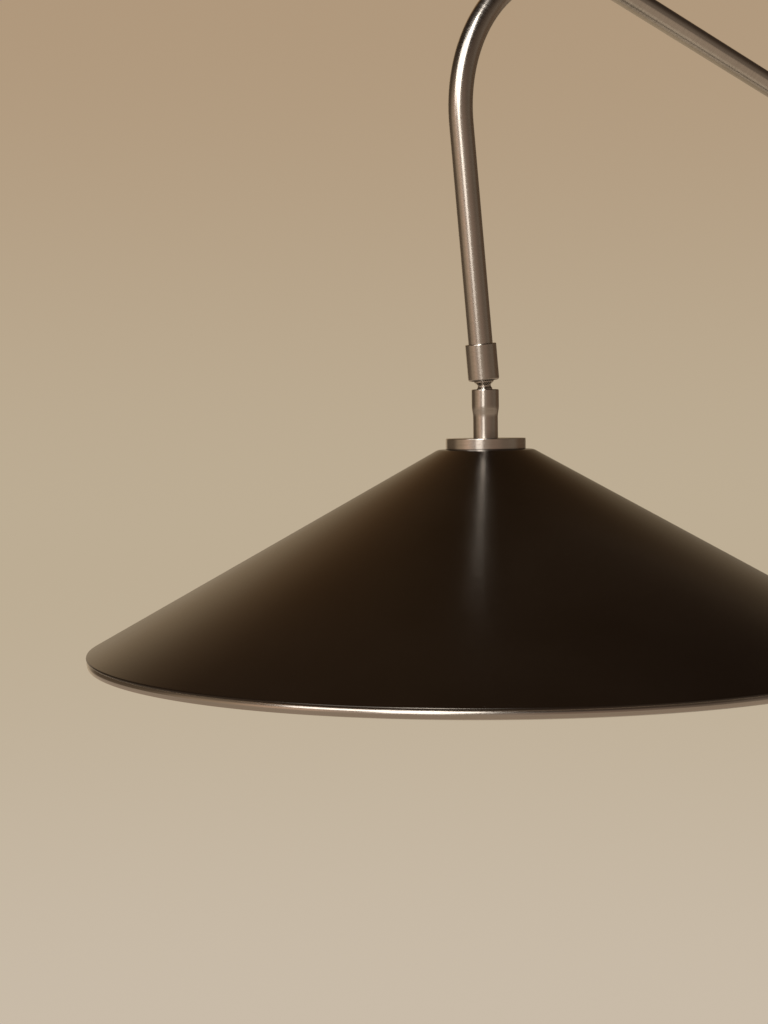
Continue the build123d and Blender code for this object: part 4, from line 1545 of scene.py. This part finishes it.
@dataclass
class Lampholder:
    """Moulded lampholder and its bulb. Heights are above the ball's centre."""

    top: float = -0.0411
    joint: float = -0.0551
    sleeve_low: float = -0.0851
    sleeve_radius: float = 0.019
    sleeve_wall: float = 0.0016
    cap_radius: float = 0.010
    cap_edge: float = 0.002
    cap_shoulder: float = 0.015
    dome_drop: float = 0.005
    dome_fillet: float = 0.006
    grip_levels: tuple[float, ...] = (-0.062, -0.0655, -0.069)
    grip_depth: float = 0.0004
    grip_half: float = 0.0006
    hole: float = 0.005
    tip: float = -0.0621
    shell_top: float = -0.0651
    shell_low: float = -0.0891
    shell_radius: float = 0.0132
    thread_root: float = 0.0126
    thread_pitch: float = 0.0036
    thread_turns: int = 5
    thread_start: float = 0.003
    tip_radius: float = 0.0045
    tip_flare: float = 0.0055
    tip_height: float = 0.0015
    cone_radius: float = 0.009
    shell_wall: float = 0.001
    shell_roof: float = 0.004
    glass_radius: float = 0.030
    glass_centre: float = -0.1341
    glass_wall: float = 0.001
    glass_neck_fillet: float = 0.016
    flank_angle: float = 35.0

    def cap(self) -> None:
        """Domed upper half of the lampholder."""
        wall, seat = 3 * self.sleeve_wall, 2 * self.sleeve_wall
        corners = [
            Corner(self.hole, self.top), Corner(self.cap_radius, self.top, self.cap_edge),
            Corner(self.cap_shoulder, self.top - self.dome_drop, self.dome_fillet),
            Corner(self.sleeve_radius, self.joint, EASED), Corner(self.sleeve_radius - seat, self.joint),
            Corner(self.cap_radius, self.top - wall), Corner(self.hole, self.top - wall),
        ]
        dress("holder_cap", below_ball(corners), Finishes.BLACK,
              Place("head", "black_plastic", "lampholder_cap"))

    def sleeve(self) -> None:
        """Lower half of the lampholder, with three grip rings."""
        inner = self.sleeve_radius - self.sleeve_wall
        rings = []
        for level in self.grip_levels:
            rings += [Corner(self.sleeve_radius, level + self.grip_half),
                      Corner(self.sleeve_radius - self.grip_depth, level, BROKEN),
                      Corner(self.sleeve_radius, level - self.grip_half)]
        corners = [
            Corner(inner, self.joint), Corner(self.sleeve_radius, self.joint, EASED), *rings,
            Corner(self.sleeve_radius, self.sleeve_low, SOFTENED), Corner(inner, self.sleeve_low, EASED),
        ]
        dress("holder_sleeve", below_ball(corners), Finishes.BLACK,
              Place("head", "black_plastic", "lampholder_sleeve"))

    def screw_cap(self) -> None:
        """Bulb's screw cap, with rolled thread."""
        thread, level = [], self.shell_top - self.thread_start
        for turn in range(self.thread_turns):
            crest = level - (turn + 0.5) * self.thread_pitch
            thread.append(Corner(self.thread_root, crest + self.thread_pitch / 2, ROUNDED))
            thread.append(Corner(self.shell_radius, crest, ROUNDED))
        bore, roof = self.shell_radius - self.shell_wall, self.shell_top - self.shell_roof
        corners = [
            Corner(0, self.tip), Corner(self.tip_radius, self.tip, BLUNTED),
            Corner(self.tip_flare, self.tip - self.tip_height), Corner(self.cone_radius, self.shell_top),
            Corner(bore, self.shell_top - self.shell_wall), *thread,
            Corner(self.shell_radius, self.shell_low), Corner(bore, self.shell_low), Corner(bore, roof),
            Corner(0, roof),
        ]
        dress("bulb_screw_cap", below_ball(corners), Finishes.BULB_SHELL,
              Place("head", "bulb_shell", "bulb_cap"))

    def glass_outline(self, inset: float) -> list[Corner]:
        """Outline of the glass from its neck to its lowest point.

        Args:
            inset: How far inside the outer face it runs.

        Returns:
            The corners, in order.
        """
        neck, ball = self.shell_radius - inset, self.glass_radius - inset
        flank = radians(self.flank_angle)
        rise = (ball * cos(flank) - neck) / tan(flank)
        shoulder = self.glass_centre + ball * sin(flank) + rise
        return [Corner(neck, self.shell_low), Corner(neck, shoulder, self.glass_neck_fillet),
                *on_arc(ball, self.flank_angle, -90, 40, self.glass_centre)]

    def glass(self) -> None:
        """Opal globe, hollow."""
        corners = self.glass_outline(0.0) + self.glass_outline(self.glass_wall)[::-1]
        dress("bulb_opal_globe", below_ball(corners), Finishes.OPAL,
              Place("head", "opal_glass", "bulb_glass"))

    def build(self) -> None:
        """Make the lampholder's pieces."""
        self.cap()
        self.sleeve()
        self.screw_cap()
        self.glass()


# ---------------------------------------------------------------------------------------------------------
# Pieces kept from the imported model
# ---------------------------------------------------------------------------------------------------------


@dataclass
class CarriedPieces:
    """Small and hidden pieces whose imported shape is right, with the finish of each."""

    finishes: dict[Finishes, tuple[str, ...]] = field(default_factory=lambda: {
        Finishes.STEEL: ("base_plate", "base_plate_screws", "base_rod", "base_washer", "base_nut",
                         "upright_grub_screws", "collar_grub_screws", "clamp_stud",
                         "arm_spigot", "arm_grub_screws", "glide_pins", "stem_nipple", "shade_washer",
                         "shade_nut"),
        Finishes.IRON: ("base_weight",),
        Finishes.BLACK: ("switch_housing",),
        Finishes.NYLON: ("collar_liner", "clamp_pad", "arm_glide", "ball_seat"),
        Finishes.CERAMIC: ("lampholder_core",),
        Finishes.BRASS: ("lamp_thread", "lamp_contact"),
        Finishes.LEAD: ("lead_in_base", "lead_in_upright", "lead_in_arm", "lead_in_stud", "lead_in_head"),
    })

    def build(self) -> None:
        """Paint each carried piece."""
        for finish, names in self.finishes.items():
            for name in names:
                mesh = frame["nodes"][name].data
                mesh.materials.clear()
                mesh.materials.append(finish.value.material())
            log.info("%s on %d carried pieces", finish.value.name, len(names))


# ---------------------------------------------------------------------------------------------------------
# Studio
# ---------------------------------------------------------------------------------------------------------


@dataclass(frozen=True)
class Softbox:
    """Rectangular light: degrees to the camera's right and above level, width and height, and its power."""

    name: str
    azimuth: float
    elevation: float
    width: float
    height: float
    watts: float


@dataclass
class Studio:
    """Camera, lights, backdrop and floor. Colours along a ramp are stops, and heights are of unit vectors."""

    heading: float = 37.52
    pitch: float = 3.12
    roll: float = 0.785
    ball_right: float = 0.06721
    ball_ahead: float = 1.18221
    ball_above: float = 0.01028
    lens: float = 63.42
    floor_radius: float = 1.35
    floor_centre: tuple[float, float] = (-0.5, 0.0)
    floor_fade: tuple[float, float] = (0.6, 0.99)
    # The floor's glow colour and strength are painted light: emission standing in for bounce light off a lit
    # floor.
    floor_glow_colour: Colour = (0.56, 0.465, 0.355)
    floor_glow: float = 0.6
    light_distance: float = 2.2
    light_colour: Colour = (1.0, 0.95, 0.88)
    softboxes: tuple[Softbox, ...] = (
        Softbox("key", -32.0, 36.0, 2.0, 1.5, 24.0), Softbox("key_core", -22.0, 46.0, 0.45, 1.1, 24.0),
        Softbox("key_low", -21.5, 11.0, 0.70, 0.9, 4.3))
    backdrop_rise: tuple[float, float] = (-0.34, 0.24)
    backdrop_stops: Stops = (
        (0.0, (0.584, 0.497, 0.392)), (0.46, (0.509, 0.418, 0.296)), (1.0, (0.434, 0.314, 0.202)))
    round_stops: Stops = (
        (0.0, (0.08, 0.055, 0.035)), (0.194, (0.12, 0.085, 0.055)), (0.272, (0.42, 0.31, 0.21)),
        (0.342, (0.72, 0.50, 0.36)), (0.403, (0.46, 0.35, 0.28)), (0.5, (0.34, 0.26, 0.20)),
        (0.556, (0.26, 0.18, 0.135)), (0.658, (0.17, 0.125, 0.092)), (0.728, (0.18, 0.14, 0.105)),
        (0.80, (0.125, 0.08, 0.05)), (1.0, (0.08, 0.055, 0.035)))
    ceiling: Colour = (0.03, 0.02, 0.014)
    ceiling_rise: tuple[float, float] = (0.15, 0.6)
    ground: Colour = (0.40, 0.31, 0.23)
    ground_rise: tuple[float, float] = (-0.22, -0.11)
    behind_stops: Stops = (
        (0.0, (0.50, 0.39, 0.265)), (0.34, (0.48, 0.34, 0.20)), (0.54, (0.37, 0.22, 0.105)),
        (0.67, (0.25, 0.13, 0.05)), (0.77, (0.17, 0.09, 0.035)), (0.87, (0.08, 0.045, 0.016)),
        (1.0, (0.03, 0.02, 0.012)))
    side_light: tuple[float, float] = (1.05, 0.55)
    side_angle: float = 16.0
    sector: tuple[float, float] = (22.0, 34.0)
    ball: Vector = field(default_factory=lambda: joint_place("head_tilt"))

    def ahead(self) -> Vector:
        """Level direction in which the camera looks."""
        return Vector((sin(radians(self.heading)), cos(radians(self.heading)), 0))

    def right(self) -> Vector:
        """Level direction to the camera's right."""
        return Vector((cos(radians(self.heading)), -sin(radians(self.heading)), 0))

    def towards(self, azimuth: float, elevation: float) -> Vector:
        """Direction seen from the lamp's head.

        Args:
            azimuth: Degrees to the right of the camera, as the camera sees it.
            elevation: Degrees above level.

        Returns:
            The unit vector.
        """
        level = self.right() * sin(radians(azimuth)) - self.ahead() * cos(radians(azimuth))
        return level * cos(radians(elevation)) + Vector((0, 0, 1)) * sin(radians(elevation))

    def camera(self) -> None:
        """Place the camera at the viewing angle."""
        up = Vector((0, 0, 1))
        place = (self.ball - self.right() * self.ball_right - self.ahead() * self.ball_ahead
                 - up * self.ball_above)
        tilt, roll = radians(self.pitch), radians(self.roll)
        view = self.ahead() * cos(tilt) - up * sin(tilt)
        top = self.ahead() * sin(tilt) + up * cos(tilt)
        side = self.right() * cos(roll) - top * sin(roll)
        top = top * cos(roll) + self.right() * sin(roll)
        data = bpy.data.cameras.new("camera")
        data.lens = self.lens
        camera = bpy.data.objects.new("camera", data)
        camera.matrix_world = Matrix.Translation(place) @ Matrix((side, top, -view)).transposed().to_4x4()
        bpy.context.scene.collection.objects.link(camera)
        bpy.context.scene.camera = camera

    def softbox(self, box: Softbox) -> None:
        """Add one light that faces the lamp's head.

        Args:
            box: Its direction, size and power.
        """
        data = bpy.data.lights.new(box.name, "AREA")
        data.shape = "RECTANGLE"
        data.size, data.size_y = box.width, box.height
        data.energy = box.watts
        data.color = self.light_colour
        light = bpy.data.objects.new(box.name, data)
        direction = self.towards(box.azimuth, box.elevation)
        light.matrix_world = Matrix.Translation(self.ball + direction * self.light_distance) @ (
            direction.to_track_quat("Z", "Y").to_matrix().to_4x4())
        light.visible_camera = False
        bpy.context.scene.collection.objects.link(light)

    def behind_lamp(self, tree: Tree, rise: bpy.types.NodeSocket, aside: bpy.types.NodeSocket,
                    around: bpy.types.NodeSocket) -> bpy.types.NodeSocket:
        """Lay the part of the studio behind the lamp, brighter low down and on the left, over the rest.

        Args:
            tree: The world's tree.
            rise: Socket with the direction's height.
            aside: Socket with its angle from straight ahead of the camera.
            around: Socket with the colour of the rest.

        Returns:
            Socket with the colour.
        """
        dimmer = tree.add("VectorMath", operation="SCALE")
        tree.feed(tree.ramp(rise, self.behind_stops), dimmer.inputs[0])
        left, right = self.side_light
        spread = radians(self.side_angle)
        tree.feed(tree.spread(aside, left, right, -spread, spread), dimmer.inputs["Scale"])
        inner, outer = self.sector
        sector = tree.spread(tree.sum_up("ABSOLUTE", aside), 1.0, 0.0, radians(inner), radians(outer))
        return tree.blend(sector, around, dimmer.outputs[0])

    def reflected(self, tree: Tree, direction: bpy.types.NodeSocket,
                  rise: bpy.types.NodeSocket) -> bpy.types.NodeSocket:
        """Dim studio that the lamp reflects: darker at the sides and above, pale below.

        Args:
            tree: The world's tree.
            direction: Socket with the direction.
            rise: Socket with its height.

        Returns:
            Socket with the colour.
        """
        turned = tree.add("VectorRotate", rotation_type="Z_AXIS")
        turned.inputs["Angle"].default_value = radians(self.heading)
        tree.feed(direction, turned.inputs["Vector"])
        level = tree.add("SeparateXYZ")
        tree.feed(turned.outputs[0], level.inputs[0])
        across, ahead = level.outputs[0], level.outputs[1]
        azimuth = tree.sum_up("ARCTAN2", across, tree.sum_up("MULTIPLY", ahead, -1.0))
        around = tree.ramp(tree.spread(azimuth, 0.0, 1.0, -pi, pi), self.round_stops)
        around = tree.blend(tree.spread(rise, 0.0, 1.0, *self.ceiling_rise), around, self.ceiling)
        around = tree.blend(tree.spread(rise, 1.0, 0.0, *self.ground_rise), around, self.ground)
        return self.behind_lamp(tree, rise, tree.sum_up("ARCTAN2", across, ahead), around)

    def backdrop(self) -> None:
        """Warm plain backdrop for the camera, and a dim studio for reflections."""
        world = bpy.data.worlds.new("studio")
        bpy.context.scene.world = world
        tree = Tree(world)
        direction = tree.add("TexCoord").outputs["Generated"]
        parts = tree.add("SeparateXYZ")
        tree.feed(direction, parts.inputs[0])
        rise = parts.outputs[2]
        seen = tree.ramp(tree.spread(rise, 0.0, 1.0, *self.backdrop_rise), self.backdrop_stops)
        camera_ray = tree.add("LightPath").outputs["Is Camera Ray"]
        shade = tree.add("Background")
        tree.feed(tree.blend(camera_ray, self.reflected(tree, direction, rise), seen), shade.inputs["Color"])
        output = tree.add("OutputWorld")
        tree.links.new(shade.outputs[0], output.inputs["Surface"])

    def floor(self) -> None:
        """Pale floor that fades out before the backdrop, and glows with painted light that stands in for
        light bounced off a lit floor.
        """
        bm = bmesh.new()
        bmesh.ops.create_circle(bm, cap_ends=True, segments=96, radius=self.floor_radius,
                                matrix=Matrix.Translation((*self.floor_centre, -0.0002)))
        floor = as_object("studio_floor", bm)
        material = bpy.data.materials.new("pale_glowing_floor")
        tree = Tree(material)
        place = tree.object_place()
        offset = tree.add("VectorMath", operation="SUBTRACT")
        tree.feed(place, offset.inputs[0])
        offset.inputs[1].default_value = (*self.floor_centre, 0.0)
        length = tree.add("VectorMath", operation="LENGTH")
        tree.feed(offset.outputs[0], length.inputs[0])
        grain = tree.noise(place, 6.0, 4.0)
        inner, outer = (share * self.floor_radius for share in self.floor_fade)
        tree.principled(
            Base_Color=tree.blend(grain, (0.60, 0.55, 0.47), (0.56, 0.51, 0.43)),
            Roughness=0.7,
            # Painted light: the floor glows by its own emission, which stands in for bounce light and also
            # lights the lamp from below.
            Emission_Color=self.floor_glow_colour,
            Emission_Strength=self.floor_glow,
            Alpha=tree.spread(length.outputs["Value"], 1.0, 0.0, inner, outer),
        )
        floor.data.materials.append(material)

    def build(self) -> None:
        """Set up the studio."""
        self.camera()
        for box in self.softboxes:
            self.softbox(box)
        self.backdrop()
        self.floor()
        view = bpy.context.scene.view_settings
        view.view_transform = "Standard"
        view.look = "None"
        log.info("studio: camera, %d lights, backdrop and floor", len(bpy.data.lights))


def main() -> None:
    """Build the lamp's sub-assemblies, then the studio, and report each."""
    logging.basicConfig(level=logging.INFO, format="%(message)s")
    assemblies = [Studio(), Base(), FootSwitch(), Upright(), Collar(), Arm(), BallJoint(), Shade(),
                  Lampholder(), CarriedPieces()]
    for assembly in assemblies:
        assembly.build()
        log.info("%s done", type(assembly).__name__)


if __name__ == "__main__":
    main()
